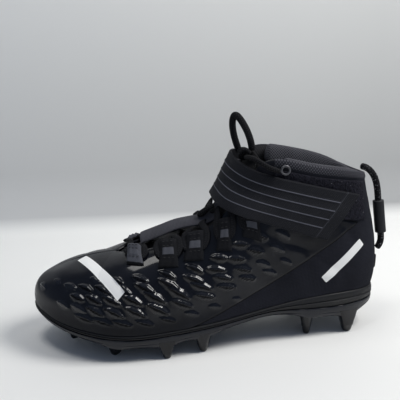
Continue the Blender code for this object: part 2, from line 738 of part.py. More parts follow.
def over_tongue(place, across, lift):
    """Point above the tongue, clear of the eyestays' edges."""
    edge = abs(across) / 0.75
    height = lift + (UPPER_WALL + SKIN_STEP + 10 * CLEARANCE) * edge ** 2
    return tongue_point(place, across) + crown_direction(place) * height


def on_eyestay(tab, side):
    """Point and normal of the lace on the eyestay's edge, above a webbing loop."""
    turn = tab.place if side > 0 else TURN - tab.place
    return skin(turn, 0.99, LACE_WALL / 2 + 5 * CLEARANCE), form_frame(turn, 0.99)[3]


def ribbon(name, path, normals, width, wall, made_of):
    """Flat band along given points, facing along the normals."""
    outer, inner = [], []
    for k, (point, normal) in enumerate(zip(path, normals)):
        along = path[min(k + 1, len(path) - 1)] - path[max(k - 1, 0)]
        side = np.cross(along, normal)
        side *= width / 2 / np.linalg.norm(side)
        face = np.cross(side, along)
        face *= wall / 2 / np.linalg.norm(face)
        outer.append([point + side * part + face for part in (-1.0, 0.0, 1.0)])
        inner.append([point + side * part - face for part in (-1.0, 0.0, 1.0)])
    return two_faced(name, outer, inner, made_of)


def make_laces(made_of):
    """Flat lace crossings over the throat, fused into one body."""
    bars = []
    for number, (first, second) in enumerate(zip(TABS[:3], TABS[1:4]), 1):
        for side in (1, -1):
            lift = LACE_WALL * (0.5 if side > 0 else 0.75) + 3 * CLEARANCE
            stops = [on_eyestay(first, side)]
            for share in spread(0.16, 0.84, 5):
                place = first.place + (second.place - first.place) * share
                across = side * 0.66 * (0.5 - share) / 0.34
                stops.append((over_tongue(place, across, lift), crown_direction(place)))
            stops.append(on_eyestay(second, -side))
            name = "lace_crossing_%d_%s" % (number, "lateral" if side > 0 else "medial")
            bars.append(ribbon(name, *zip(*stops), LACE_WIDTH, LACE_WALL, made_of))
    bars[0].name = "lace_crossings"
    join_by_union(bars[0], bars[1:])
    return bars[0]


def make_sleeve(made_of):
    """Rubber sleeve on the heel's pull cord."""
    top = HEEL_LOOP_TOP[-1]
    foot = HEEL_LOOP_FOOT[0]
    ends = []
    for stop, drop in ((top, -2 * CLEARANCE), (foot, 2 * CLEARANCE)):
        ends.append(np.array([
            LENGTH * stop.along, BALL_WIDTH * stop.across,
            sole_line(0.0) + UPPER_HEIGHT * stop.up + drop,
        ]))
    return tube("heel_loop_sleeve", ends, SLEEVE_DIAMETER, made_of, resolution=3)


def make_eyelet(made_of):
    """Ring that the lace's end runs into, on the ankle's loop fastener."""
    point, along, upward, normal = form_frame(5.15, 0.94)
    lift = PATCH_WALL + 3 * CLEARANCE + EYELET_WIRE / 2
    bpy.ops.mesh.primitive_torus_add(
        major_radius=(EYELET_DIAMETER - EYELET_WIRE) / 2, minor_radius=EYELET_WIRE / 2,
        major_segments=16, minor_segments=6, location=tuple(point + normal * lift),
        rotation=Vector(normal).to_track_quat("Z", "Y").to_euler(),
    )
    ring = bpy.context.object
    ring.name = "lace_eyelet"
    for owner in list(ring.users_collection):
        owner.objects.unlink(ring)
    MODEL.objects.link(ring)
    ring.data.materials.append(made_of)
    return ring


def set_on_origin(cords):
    """Move the model so that its box without the cords stands centred over the origin."""
    bpy.context.view_layer.update()
    graph = bpy.context.evaluated_depsgraph_get()
    corners = []
    for part in MODEL.objects:
        if part not in cords:
            shaped = part.evaluated_get(graph)
            corners += [shaped.matrix_world @ vertex.co for vertex in shaped.data.vertices]
    low = [min(corner[axis] for corner in corners) for axis in range(3)]
    high = [max(corner[axis] for corner in corners) for axis in range(3)]
    shift = Vector((-(low[0] + high[0]) / 2, -(low[1] + high[1]) / 2, -low[2]))
    for part in list(MODEL.objects) + list(CUTTERS.objects):
        part.location += shift


def main():
    for old in list(bpy.data.objects):
        bpy.data.objects.remove(old)
    bpy.context.scene.collection.children.link(MODEL)
    bpy.context.scene.collection.children.link(CUTTERS)

    plate_plastic = material("plate_plastic", (0.012, 0.012, 0.014), 0.32)
    foam = material("midsole_foam", (0.014, 0.014, 0.016), 0.55)
    liner = material("insole_cloth", (0.020, 0.020, 0.022), 0.9)
    shell = material("upper_skin", (0.008, 0.008, 0.010), 0.22)
    cloth = material("tongue_cloth", (0.016, 0.016, 0.018), 0.85)
    mesh_cloth = material("collar_mesh", (0.060, 0.060, 0.062), 0.8)
    webbing = material("strap_webbing", (0.030, 0.028, 0.027), 0.8)
    tape = material("lace_webbing", (0.016, 0.016, 0.017), 0.75)
    fleece = material("loop_fastener", (0.022, 0.022, 0.026), 0.95)
    lace = material("lace_cord", (0.010, 0.010, 0.011), 0.8)
    rubber = material("sleeve_rubber", (0.014, 0.014, 0.015), 0.45)
    metal = material("eyelet_metal", (0.120, 0.120, 0.125), 0.4, 0.8)

    make_outsole(plate_plastic)
    make_midsole(foam)
    make_insole(liner)
    upper = make_upper(shell)
    tongue = make_tongue(cloth)
    make_padding(mesh_cloth)
    tabs = make_tabs(tape)
    patch = make_patch(
        "loop_fastener", spread(1.6, 5.6, 17), spread(0.62, 0.93, 6), CLEARANCE * 2, PATCH_WALL, fleece)
    make_patch("heel_webbing", spread(-0.35, 0.35, 5), spread(0.13, 0.26, 4), CLEARANCE * 2, WEBBING_WALL, tape)
    crossings = make_laces(lace)
    make_strap([upper, tongue, patch, crossings] + tabs, webbing)
    cords = [
        cord("tongue_pull_cord", TONGUE_LOOP, PULL_CORD_DIAMETER, lace),
        cord("heel_pull_cord_top", HEEL_LOOP_TOP, PULL_CORD_DIAMETER, lace),
        cord("heel_pull_cord_foot", HEEL_LOOP_FOOT, PULL_CORD_DIAMETER, lace),
        cord("lace_end_lateral", LACE_END, LACE_DIAMETER, lace),
        cord("lace_knot", LACE_KNOT, LACE_DIAMETER, lace, spacing=1.1),
        cord("lace_bow_loop", LACE_BOW, LACE_DIAMETER, lace, spacing=1.3),
    ]
    make_sleeve(rubber)
    make_eyelet(metal)
    set_on_origin(cords)


main()
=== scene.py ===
"""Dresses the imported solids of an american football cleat, the left shoe.

Metres, with +Z up, the toe at +X and the lateral side at +Y.

Forms are worked out in the shoe's own frame, with the heel seat at zero, and ORIGIN moves them to the
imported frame.
"""
import math
from collections import namedtuple

import bmesh
import bpy
import numpy as np
from mathutils import Matrix, Vector
from mathutils.bvhtree import BVHTree


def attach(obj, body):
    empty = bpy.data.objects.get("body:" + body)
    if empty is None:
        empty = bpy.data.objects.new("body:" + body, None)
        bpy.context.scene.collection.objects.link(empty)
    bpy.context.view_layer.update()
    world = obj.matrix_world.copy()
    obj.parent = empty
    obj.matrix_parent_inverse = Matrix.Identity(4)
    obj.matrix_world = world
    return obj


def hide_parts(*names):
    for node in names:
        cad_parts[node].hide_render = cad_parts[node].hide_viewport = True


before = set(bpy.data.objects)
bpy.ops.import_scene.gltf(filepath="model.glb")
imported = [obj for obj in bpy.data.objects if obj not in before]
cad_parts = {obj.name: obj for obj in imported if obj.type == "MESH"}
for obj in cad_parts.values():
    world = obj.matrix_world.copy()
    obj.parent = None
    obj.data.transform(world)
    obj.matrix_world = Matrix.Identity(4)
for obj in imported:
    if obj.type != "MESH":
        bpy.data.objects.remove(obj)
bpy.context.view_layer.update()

bl_info = {
    "name": "American football cleat",
    "version": (1, 0, 0),
    "blender": (4, 5, 0),
    "location": "View3D > Sidebar > Cleat",
    "description": "Builds the finished surfaces of a mid-cut football cleat round its packed solids",
    "category": "Object",
}

# Sizes of the solids, which the finished pieces follow
LENGTH = 0.300
BALL_WIDTH = 0.103
UPPER_HEIGHT = 0.124
THROAT_WIDTH = 0.046
THROAT_END = 0.12
STUD_HEIGHT = 0.0100
TOE_SPRING = 0.0190
PLATE_HEIGHT = 0.0115
FOAM_HEIGHT = 0.0120
INSOLE_THICKNESS = 0.0035
UPPER_WALL = 0.0022
SKIN_STEP = 0.0008
TONGUE_WALL = 0.0040
PADDING_THICKNESS = 0.0060
PADDING_DEPTH = 0.0200
STRAP_WALL = 0.0020
PATCH_WALL = 0.0012
LACE_DIAMETER = 0.0040
PULL_CORD_DIAMETER = 0.0058
SLEEVE_DIAMETER = 0.0098
EYELET_DIAMETER = 0.0085
EYELET_WIRE = 0.0018
WEBBING_WALL = 0.0016
SOLE_RIM = 0.0010
PLATE_TUCK = 0.0032
STUD_BASE_LENGTH = 0.0200
STUD_BASE_WIDTH = 0.0135
STUD_TIP_SHARE = 0.42
CLEARANCE = 0.0003
ORIGIN = np.array([-0.143196, -0.001622, 0.0])
MM = 0.001

# Sections of the upper from heel to toe, as shares of the sizes above
SECTION_NAMES = "foot lateral medial top middle opening height tilt rise bulge reach drop lean".split()
SECTIONS = np.array([
    (-0.003, 0.000, 0.000, 0.045, 0.000, 0.00, 0.815, 0.000, 0.32, 0.072, 0.00, 0.36, 0.100),
    (0.016, 0.160, 0.150, 0.053, 0.000, 0.62, 0.823, 0.000, 0.32, 0.075, 0.00, 0.36, 0.060),
    (0.074, 0.268, 0.255, 0.092, 0.000, 1.12, 0.855, 0.010, 0.32, 0.050, 0.00, 0.36, 0.005),
    (0.150, 0.318, 0.296, 0.156, 0.000, 1.30, 0.895, 0.026, 0.32, 0.035, 0.00, 0.36, -0.020),
    (0.240, 0.330, 0.292, 0.230, 0.000, 1.38, 0.927, 0.032, 0.32, 0.030, 0.00, 0.35, -0.025),
    (0.327, 0.344, 0.280, 0.300, 0.000, 1.38, 0.968, 0.024, 0.34, 0.030, 0.02, 0.34, -0.015),
    (0.400, 0.368, 0.290, 0.357, 0.000, 1.24, 0.976, 0.020, 0.36, 0.028, 0.06, 0.32, 0.000),
    (0.467, 0.408, 0.322, 0.392, 0.000, 1.08, 0.871, 0.010, 0.38, 0.025, 0.14, 0.30, 0.000),
    (0.533, 0.440, 0.360, 0.430, 0.000, 1.00, 0.710, 0.000, 0.42, 0.022, 0.26, 0.26, 0.000),
    (0.600, 0.470, 0.404, 0.484, 0.000, 0.95, 0.532, 0.000, 0.46, 0.020, 0.36, 0.18, 0.000),
    (0.667, 0.495, 0.447, 0.563, 0.000, 0.88, 0.431, 0.000, 0.52, 0.018, 0.46, 0.10, 0.000),
    (0.727, 0.502, 0.480, 0.653, 0.000, 0.76, 0.375, 0.000, 0.56, 0.016, 0.52, 0.05, 0.000),
    (0.783, 0.482, 0.490, 0.722, -0.004, 0.66, 0.339, 0.000, 0.60, 0.016, 0.56, 0.00, 0.000),
    (0.833, 0.432, 0.472, 0.768, -0.010, 0.00, 0.315, 0.000, 0.62, 0.016, 0.58, 0.00, 0.000),
    (0.880, 0.358, 0.432, 0.806, -0.026, 0.00, 0.302, 0.000, 0.64, 0.016, 0.60, 0.00, 0.000),
    (0.924, 0.262, 0.370, 0.838, -0.046, 0.00, 0.286, 0.000, 0.66, 0.016, 0.62, 0.00, 0.000),
    (0.962, 0.140, 0.282, 0.866, -0.064, 0.00, 0.266, 0.000, 0.68, 0.018, 0.64, 0.00, 0.000),
    (0.989, 0.018, 0.182, 0.884, -0.078, 0.00, 0.250, 0.000, 0.70, 0.018, 0.64, 0.00, 0.000),
    (0.999, -0.082, 0.082, 0.892, -0.082, 0.00, 0.242, 0.000, 0.70, 0.018, 0.64, 0.00, 0.000),
])
LAST = len(SECTIONS) - 1
TURN = 2 * LAST

# Sections of the sole: rise of the underside, plate and foam as shares of TOE_SPRING, PLATE_HEIGHT,
# FOAM_HEIGHT
SOLES = np.array([
    (0.62, 0.55, 0.72), (0.50, 0.70, 0.80), (0.34, 0.96, 0.92), (0.28, 1.00, 1.00),
    (0.48, 0.66, 0.84), (0.74, 0.40, 0.34), (0.58, 0.42, 0.27), (0.36, 0.54, 0.27),
    (0.18, 0.66, 0.29), (0.07, 0.76, 0.29), (0.00, 0.80, 0.29), (0.02, 0.74, 0.29),
    (0.12, 0.66, 0.29), (0.26, 0.58, 0.29), (0.40, 0.50, 0.27), (0.56, 0.44, 0.25),
    (0.74, 0.38, 0.25), (0.92, 0.30, 0.25), (1.00, 0.26, 0.25),
])

# Studs: along and across as shares of LENGTH and BALL_WIDTH, size, turn in degrees, lift as a share of
# STUD_HEIGHT
Stud = namedtuple("Stud", "along across size turn lift")
STUDS = [
    Stud(0.100, 0.215, 1.25, 78, 0.0), Stud(0.100, -0.195, 1.25, 102, 0.0), Stud(0.222, 0.220, 0.90, 60, 0.0),
    Stud(0.222, -0.185, 0.90, 120, 0.0), Stud(0.534, 0.375, 1.00, 65, 0.0),
    Stud(0.540, -0.280, 1.00, 115, 0.0),
    Stud(0.636, 0.435, 1.00, 80, 0.0), Stud(0.645, -0.380, 1.00, 100, 0.0), Stud(0.773, 0.325, 0.90, 50, 0.0),
    Stud(0.778, -0.390, 0.90, 130, 0.0), Stud(0.690, 0.020, 0.70, 90, 0.1), Stud(0.835, 0.100, 0.65, 0, 0.1),
    Stud(0.890, 0.045, 0.75, 20, 0.25),
]

# The strap's two edges from its lateral to its medial end: low along and up, high along and up, across
STRAP = np.array([
    (0.178, 0.400, 0.082, 0.690, 0.250), (0.250, 0.455, 0.175, 0.740, 0.270),
    (0.330, 0.520, 0.275, 0.800, 0.285),
    (0.400, 0.580, 0.358, 0.850, 0.290), (0.450, 0.630, 0.402, 0.895, 0.250),
    (0.480, 0.675, 0.424, 0.935, 0.140),
    (0.488, 0.695, 0.430, 0.965, 0.000), (0.480, 0.690, 0.424, 0.980, -0.140),
    (0.445, 0.670, 0.400, 0.970, -0.250),
    (0.380, 0.635, 0.350, 0.935, -0.285), (0.300, 0.595, 0.275, 0.890, -0.285),
    (0.220, 0.565, 0.205, 0.850, -0.280),
])

# Webbing lace loops, front to back: place and level of the foot and of the fold, width in mm, rise of the
# level from the loop's heel side to its toe side, and how far the fold stands off the upper, in mm
Tab = namedtuple("Tab", "place low fold_place high width tilt stand")
TABS = [
    Tab(11.42, 0.70, 11.78, 0.97, 14.5, 0.05, 8.0), Tab(10.08, 0.60, 10.58, 0.97, 16.5, 0.03, 6.6),
    Tab(9.20, 0.61, 9.67, 0.97, 18.0, 0.05, 6.6), Tab(7.83, 0.55, 8.42, 0.91, 19.0, 0.11, 5.4),
    Tab(6.42, 0.51, 6.72, 0.72, 19.0, 0.10, 4.2),
]

# Routes of the cords, the same points as the solids have: shares along, across and up
TONGUE_LOOP = [
    (0.379, 0.080, 0.991), (0.383, 0.088, 1.050), (0.394, 0.072, 1.130), (0.412, 0.030, 1.210),
    (0.424, -0.012, 1.235), (0.428, -0.052, 1.165), (0.418, -0.078, 1.060), (0.402, -0.080, 0.960),
]
HEEL_LOOP = [
    (0.046, 0.000, 0.850), (0.024, 0.000, 0.838), (0.000, 0.000, 0.775), (-0.010, 0.000, 0.690),
    (-0.014, 0.000, 0.610), (-0.018, 0.000, 0.540), (-0.025, 0.000, 0.420), (-0.030, 0.000, 0.345),
    (-0.032, 0.000, 0.300), (-0.028, 0.000, 0.262), (-0.019, 0.000, 0.235),
]
LACE_END = [
    (0.405, 0.170, 0.955), (0.396, 0.245, 0.965), (0.380, 0.318, 0.945), (0.358, 0.352, 0.905),
    (0.326, 0.350, 0.880),
]
LACE_KNOT = [
    (0.414, 0.030, 0.968), (0.408, 0.040, 0.998), (0.395, 0.050, 0.998), (0.388, 0.059, 0.968),
    (0.395, 0.068, 0.938), (0.408, 0.078, 0.938), (0.415, 0.087, 0.968), (0.408, 0.097, 0.998),
    (0.395, 0.107, 0.998), (0.388, 0.117, 0.968),
]
LACE_BOW = [
    (0.490, 0.140, 0.640), (0.506, 0.136, 0.622), (0.525, 0.126, 0.592), (0.533, 0.116, 0.570),
    (0.524, 0.105, 0.568), (0.508, 0.095, 0.596), (0.491, 0.090, 0.642),
]

# Rows of moulded pods along the lateral side. A row has its first and last place along the sections and its
# number of pods. What changes along it is given at its rear, middle and front: level, length and width in mm,
# turn of the long axis in degrees from the line of the sole, and height in mm
PodRow = namedtuple("PodRow", "first last count level length width turn height")
POD_ROWS = [
    PodRow(6.7, 13.3, 8, (0.12, 0.10, 0.12), (9, 13, 16), (3.8, 4.4, 5.4), (24, 22, 8), (0.9, 1.2, 1.2)),
    PodRow(5.4, 14.6, 11, (0.25, 0.21, 0.20), (12, 18, 12), (4.2, 6.2, 5.0), (22, 32, 12), (1.1, 2.0, 0.9)),
    PodRow(4.8, 13.8, 11, (0.31, 0.32, 0.31), (10, 18, 13), (4.0, 6.4, 5.6), (24, 38, 12), (0.9, 2.0, 1.2)),
    PodRow(5.2, 14.4, 11, (0.41, 0.42, 0.42), (12, 17, 12), (4.6, 6.2, 5.2), (26, 36, 12), (1.0, 2.0, 1.0)),
    PodRow(5.0, 13.0, 9, (0.50, 0.52, 0.52), (12, 14, 11), (4.6, 5.6, 5.0), (28, 38, 16), (1.0, 1.8, 1.0)),
    PodRow(15.4, 16.4, 2, (0.46, 0.40, 0.34), (9, 9, 9), (4.6, 4.8, 5.0), (20, 15, 10), (0.6, 0.6, 0.6)),
]
Pod = namedtuple("Pod", "place level length width turn height")


def pods_of(row):
    """Pods of one row, evenly spaced from its rear to its front."""
    for share in np.linspace(0, 1, row.count):
        yield Pod(row.first + (row.last - row.first) * share, *(
            float(np.interp(share, (0, 0.5, 1), values)) for values in row[3:]))


PODS = [pod for row in POD_ROWS for pod in pods_of(row)]

# Height over a pod from its lower edge to its upper one: a wide low facet, a steep one, a crest and the
# short top
POD_ACROSS = [-1.0, -0.90, -0.30, 0.12, 0.24, 0.40, 0.60, 0.80, 1.0]
POD_HEIGHTS = [0.0, 0.14, 0.50, 0.96, 1.0, 0.93, 0.70, 0.36, 0.0]

# A pod reaches these shares of its length and width from its centre, so that neighbours nearly touch. The
# stippled facet lies between these two lines across a pod.
POD_HALF_LENGTH = 0.64
POD_HALF_WIDTH = 0.72
STIPPLE_LOW = -0.42
STIPPLE_HIGH = 0.20

# The lace's arm round a webbing loop: across and along the loop as for tab_spot, and height over the upper
LACE_ARM = [(0.0, 0.44, 0.0018), (-0.8, 0.42, 0.0020), (-1.2, 0.68, 0.0024), (-1.12, 1.0, 0.0026)]

# Scale of a wave texture that has one band in a metre
WAVE_SCALE = 0.31416

# Camera in the shoe's own frame: place, direction of view, roll in degrees and focal length in mm
CAMERA_PLACE = (0.2172, 0.4274, 0.2138)
CAMERA_FORWARD = (-0.137, -0.967, -0.217)
CAMERA_ROLL = 0.6
CAMERA_LENS = 46.8

# Main creases and soft ridges of the worn upper: side, place, level, length and width in mm, turn, depth in
# mm
Crease = namedtuple("Crease", "side place level length width turn depth")
CREASES = [
    Crease(1, 4.30, 0.42, 46, 7.0, 20, 0.9), Crease(1, 3.60, 0.30, 40, 6.0, 35, 0.7),
    Crease(1, 2.60, 0.55, 34, 8.0, 62, 0.8),
    Crease(1, 3.10, 0.16, 44, 7.0, 8, -0.6), Crease(1, 1.60, 0.42, 30, 9.0, 80, 0.6),
    Crease(-1, 3.90, 0.40, 48, 8.0, 24, 1.0),
    Crease(-1, 2.70, 0.55, 38, 8.0, 58, 0.9), Crease(-1, 5.20, 0.28, 42, 7.0, 12, 0.8),
    Crease(1, 14.60, 0.74, 26, 9.0, 64, 0.6),
    Crease(1, 15.80, 0.66, 20, 8.0, 40, -0.5), Crease(-1, 13.90, 0.70, 28, 9.0, 58, 0.6),
    Crease(-1, 9.20, 0.52, 36, 6.0, 48, 0.7),
    Crease(1, 16.80, 0.52, 22, 9.0, 20, 0.5), Crease(-1, 15.60, 0.48, 24, 8.0, 26, 0.5),
]

# Plain painted bars: one lies across the toe box and one slants over the heel quarter. Each has its two
# ends as place and level on the lateral side, and its width in mm
BARS = [((15.35, 0.93), (11.62, 0.355), 8.2), ((1.88, 0.435), (3.45, 0.135), 7.4)]

# The flat ribbon of lace that lies along the throat: along in mm, then height of its lower and upper edge
# in mm
THROAT_RIBBON = [(208.0, 86.6, 93.6), (205.2, 88.1, 95.0), (192.0, 92.3, 99.6), (179.3, 97.3, 103.9),
                 (166.6, 99.6, 106.1), (155.5, 100.6, 107.6), (148.0, 103.5, 112.0), (142.5, 109.5, 119.5)]
RIBBON_LOW_SIDE = 0.0150   # the ribbon's lower edge stands this far to the lateral side, and its upper edge
RIBBON_HIGH_SIDE = 0.0070


# Form of the shoe

def spline(rows, at, closed=True):
    """Uniform cubic B-spline through rows of values, at one place or at many."""
    rows = np.asarray(rows, float)
    at = np.asarray(at, float)
    index = np.floor(at).astype(int)
    step = at - index
    weights = (
        (1 - step) ** 3 / 6, (3 * step ** 3 - 6 * step ** 2 + 4) / 6,
        (-3 * step ** 3 + 3 * step ** 2 + 3 * step + 1) / 6, step ** 3 / 6,
    )
    total = 0.0
    for offset, weight in zip((-1, 0, 1, 2), weights):
        row = index + offset
        row = row % len(rows) if closed else np.clip(row, 0, len(rows) - 1)
        total = total + rows[row] * (weight[..., None] if rows.ndim > 1 else weight)
    return total


def around(lateral, medial):
    """Values of a whole turn: lateral from heel to toe, then medial back to the heel."""
    return np.concatenate([lateral, medial[-2:0:-1]])


COLUMNS = {name: around(SECTIONS[:, k], SECTIONS[:, k]) for k, name in enumerate(SECTION_NAMES)}
SIDE = around(SECTIONS[:, 1], -SECTIONS[:, 2])
OPENING_SIDE = around(SECTIONS[:, 5], -SECTIONS[:, 5])
TILT_SIDE = around(-SECTIONS[:, 7], SECTIONS[:, 7])
UNDER, PLATE, FOAM = (around(SOLES[:, k], SOLES[:, k]) for k in range(3))


def plate_bottom(turn):
    return STUD_HEIGHT + TOE_SPRING * spline(UNDER, turn)


def plate_top(turn):
    return plate_bottom(turn) + PLATE_HEIGHT * spline(PLATE, turn)


def sole_line(turn):
    return plate_top(turn) + CLEARANCE + FOAM_HEIGHT * spline(FOAM, turn)


BASE = float(sole_line(0.0))


def unit(vectors):
    """Vectors at a length of one."""
    return vectors / np.maximum(np.linalg.norm(vectors, axis=-1, keepdims=True), 1e-12)


def foot_plan(turn):
    """Upper's lower edge in plan."""
    return np.stack([LENGTH * spline(COLUMNS["foot"], turn), BALL_WIDTH * spline(SIDE, turn)], -1)


def foot_normal(turn):
    along = unit(foot_plan(turn + 0.05) - foot_plan(turn - 0.05))
    return np.stack([-along[..., 1], along[..., 0]], -1)


def outline(turn, offset):
    """Plan outline of the sole, offset outward from the upper's lower edge."""
    return foot_plan(turn) + foot_normal(turn) * np.asarray(offset)[..., None]


def top_slope(turn):
    """Rise of the top edge for each unit along the shoe."""
    place = np.clip(np.minimum(turn % TURN, TURN - turn % TURN), 0.1, LAST - 0.1)
    ahead, behind = place + 0.02, place - 0.02
    rise = UPPER_HEIGHT * (spline(COLUMNS["height"], ahead) - spline(COLUMNS["height"], behind))
    return rise / (LENGTH * (spline(COLUMNS["top"], ahead) - spline(COLUMNS["top"], behind)))


def throat_share(turn):
    """Half opening of the top edge as a share: above 0 on the lateral side, 0 over the closed toe box."""
    share = spline(OPENING_SIDE, turn)
    rounded = np.sqrt(np.maximum(share ** 2 - THROAT_END ** 2, 0.0))
    front = (turn % TURN > LAST * 0.5) & (turn % TURN < LAST * 1.5)
    return np.where(front, np.copysign(rounded, share), share)


def handles(turn):
    """Four control points of each section's curve, from the sole line to the top edge."""
    row = {name: spline(values, turn) for name, values in COLUMNS.items()}
    plan, out = foot_plan(turn), foot_normal(turn)
    zero = np.zeros(np.shape(turn))
    foot = np.stack([plan[..., 0], plan[..., 1], sole_line(turn) + CLEARANCE], -1)
    height = UPPER_HEIGHT * (row["height"] + spline(TILT_SIDE, turn))
    top = np.stack([
        LENGTH * row["top"], BALL_WIDTH * row["middle"] + 0.5 * THROAT_WIDTH * throat_share(turn),
        BASE + height], -1)
    out = np.stack([out[..., 0], out[..., 1], zero], -1)
    up = np.stack([zero, zero, top[..., 2] - foot[..., 2]], -1)
    run = foot - top
    run[..., 2] = run[..., 0] * top_slope(turn)
    low = foot + up * row["rise"][..., None] + out * (row["bulge"] * BALL_WIDTH)[..., None]
    high = (top + run * row["reach"][..., None] - up * row["drop"][..., None]
            + out * (row["lean"] * BALL_WIDTH)[..., None])
    return foot, low, high, top


def form(turn, level):
    """Point of the upper's outer form, level 0 at the sole line and 1 at the top edge."""
    turn, level = np.asarray(turn, float), np.asarray(level, float)
    foot, low, high, top = handles(turn)
    level = level[..., None]
    rest = 1 - level
    return foot * rest ** 3 + low * 3 * rest ** 2 * level + high * 3 * rest * level ** 2 + top * level ** 3


def form_frame(turn, level):
    """Point, direction along the shoe, direction up the section and outward normal."""
    turn, level = np.broadcast_arrays(np.asarray(turn, float), np.asarray(level, float))
    point = form(turn, level)
    level = np.where((level >= 0) & (level <= 1), np.clip(level, 0.01, 0.99), level)
    along = form(turn + 0.03, level) - form(turn - 0.03, level)
    upward = form(turn, level + 0.01) - form(turn, level - 0.01)
    return point, unit(along), unit(upward), unit(np.cross(upward, along))


def seam_distance(point):
    """How far a point lies inside the moulded forefoot skin, in metres, below zero on the quarter."""
    along = point[..., 0] / LENGTH
    share = np.clip((along - 0.15) / 0.44, -0.6, 1.0)
    seam = BASE + UPPER_HEIGHT * (0.405 - 0.530 * share - 0.145 * share * (1 - share))
    strap_middle = BASE + UPPER_HEIGHT * (0.56 + 0.75 * (along - 0.17))
    under_strap = np.where(along > 0.42, 1.0, strap_middle - point[..., 2])
    return np.minimum(point[..., 2] - seam, under_strap)


def outward(turn, level):
    """Normal of the upper, evened out over the closed ridge of the toe box."""
    turn, level = np.broadcast_arrays(np.asarray(turn, float), np.asarray(level, float))
    normal = form_frame(turn, level)[3]
    mirrored = form_frame(TURN - turn, level)[3] * (level ** 8)[..., None]
    return unit(np.where((throat_share(turn) == 0)[..., None], normal + mirrored, normal))


def skin(turn, level, lift=0.0):
    """Point of the upper's finished outer face."""
    turn, level, lift = np.broadcast_arrays(*(np.asarray(v, float) for v in (turn, level, lift)))
    point = form(turn, level)
    share = np.clip(seam_distance(point) / 0.002, 0.0, 1.0)
    return point + outward(turn, level) * (SKIN_STEP * share + lift)[..., None]


def of_side(place, side):
    """Turn of a place along the sections, on the lateral or the medial side."""
    return place if side > 0 else TURN - place


def of_side_array(places, side):
    """Turns of places along the sections, on the lateral or the medial side."""
    return places if side > 0 else TURN - places


def turn_at(along, side):
    """Turn of the section whose lower edge lies at a distance from the heel."""
    places = np.linspace(0, LAST, 721)
    return of_side(float(np.interp(along, foot_plan(places)[:, 0], places)), side)


def along_route(stops, count):
    """Points along a smooth curve through a cord's stops, given as shares."""
    knots = np.array(stops) * (LENGTH, BALL_WIDTH, UPPER_HEIGHT) + (0.0, 0.0, BASE)
    knots = np.concatenate([[2 * knots[0] - knots[1]], knots, [2 * knots[-1] - knots[-2]]])
    return spline(knots, np.linspace(1, len(knots) - 2, count), closed=False)


def smooth_path(stops, count):
    """Points along a curve that passes through each stop."""
    stops = np.asarray(stops, float)
    padded = np.concatenate([[2 * stops[0] - stops[1]], stops, [2 * stops[-1] - stops[-2]]])
    at = np.linspace(0, len(stops) - 1 - 1e-9, count)
    index = np.floor(at).astype(int)
    step = (at - index)[:, None]
    a, b, c, d = (padded[index + k] for k in range(4))
    return 0.5 * (2 * b + (c - a) * step + (2 * a - 5 * b + 4 * c - d) * step ** 2
                  + (3 * b - a - 3 * c + d) * step ** 3)


def lengths_along(path):
    """Distance of each point from the path's start."""
    return np.concatenate([[0.0], np.cumsum(np.linalg.norm(np.diff(path, axis=0), axis=1))])


# Meshes

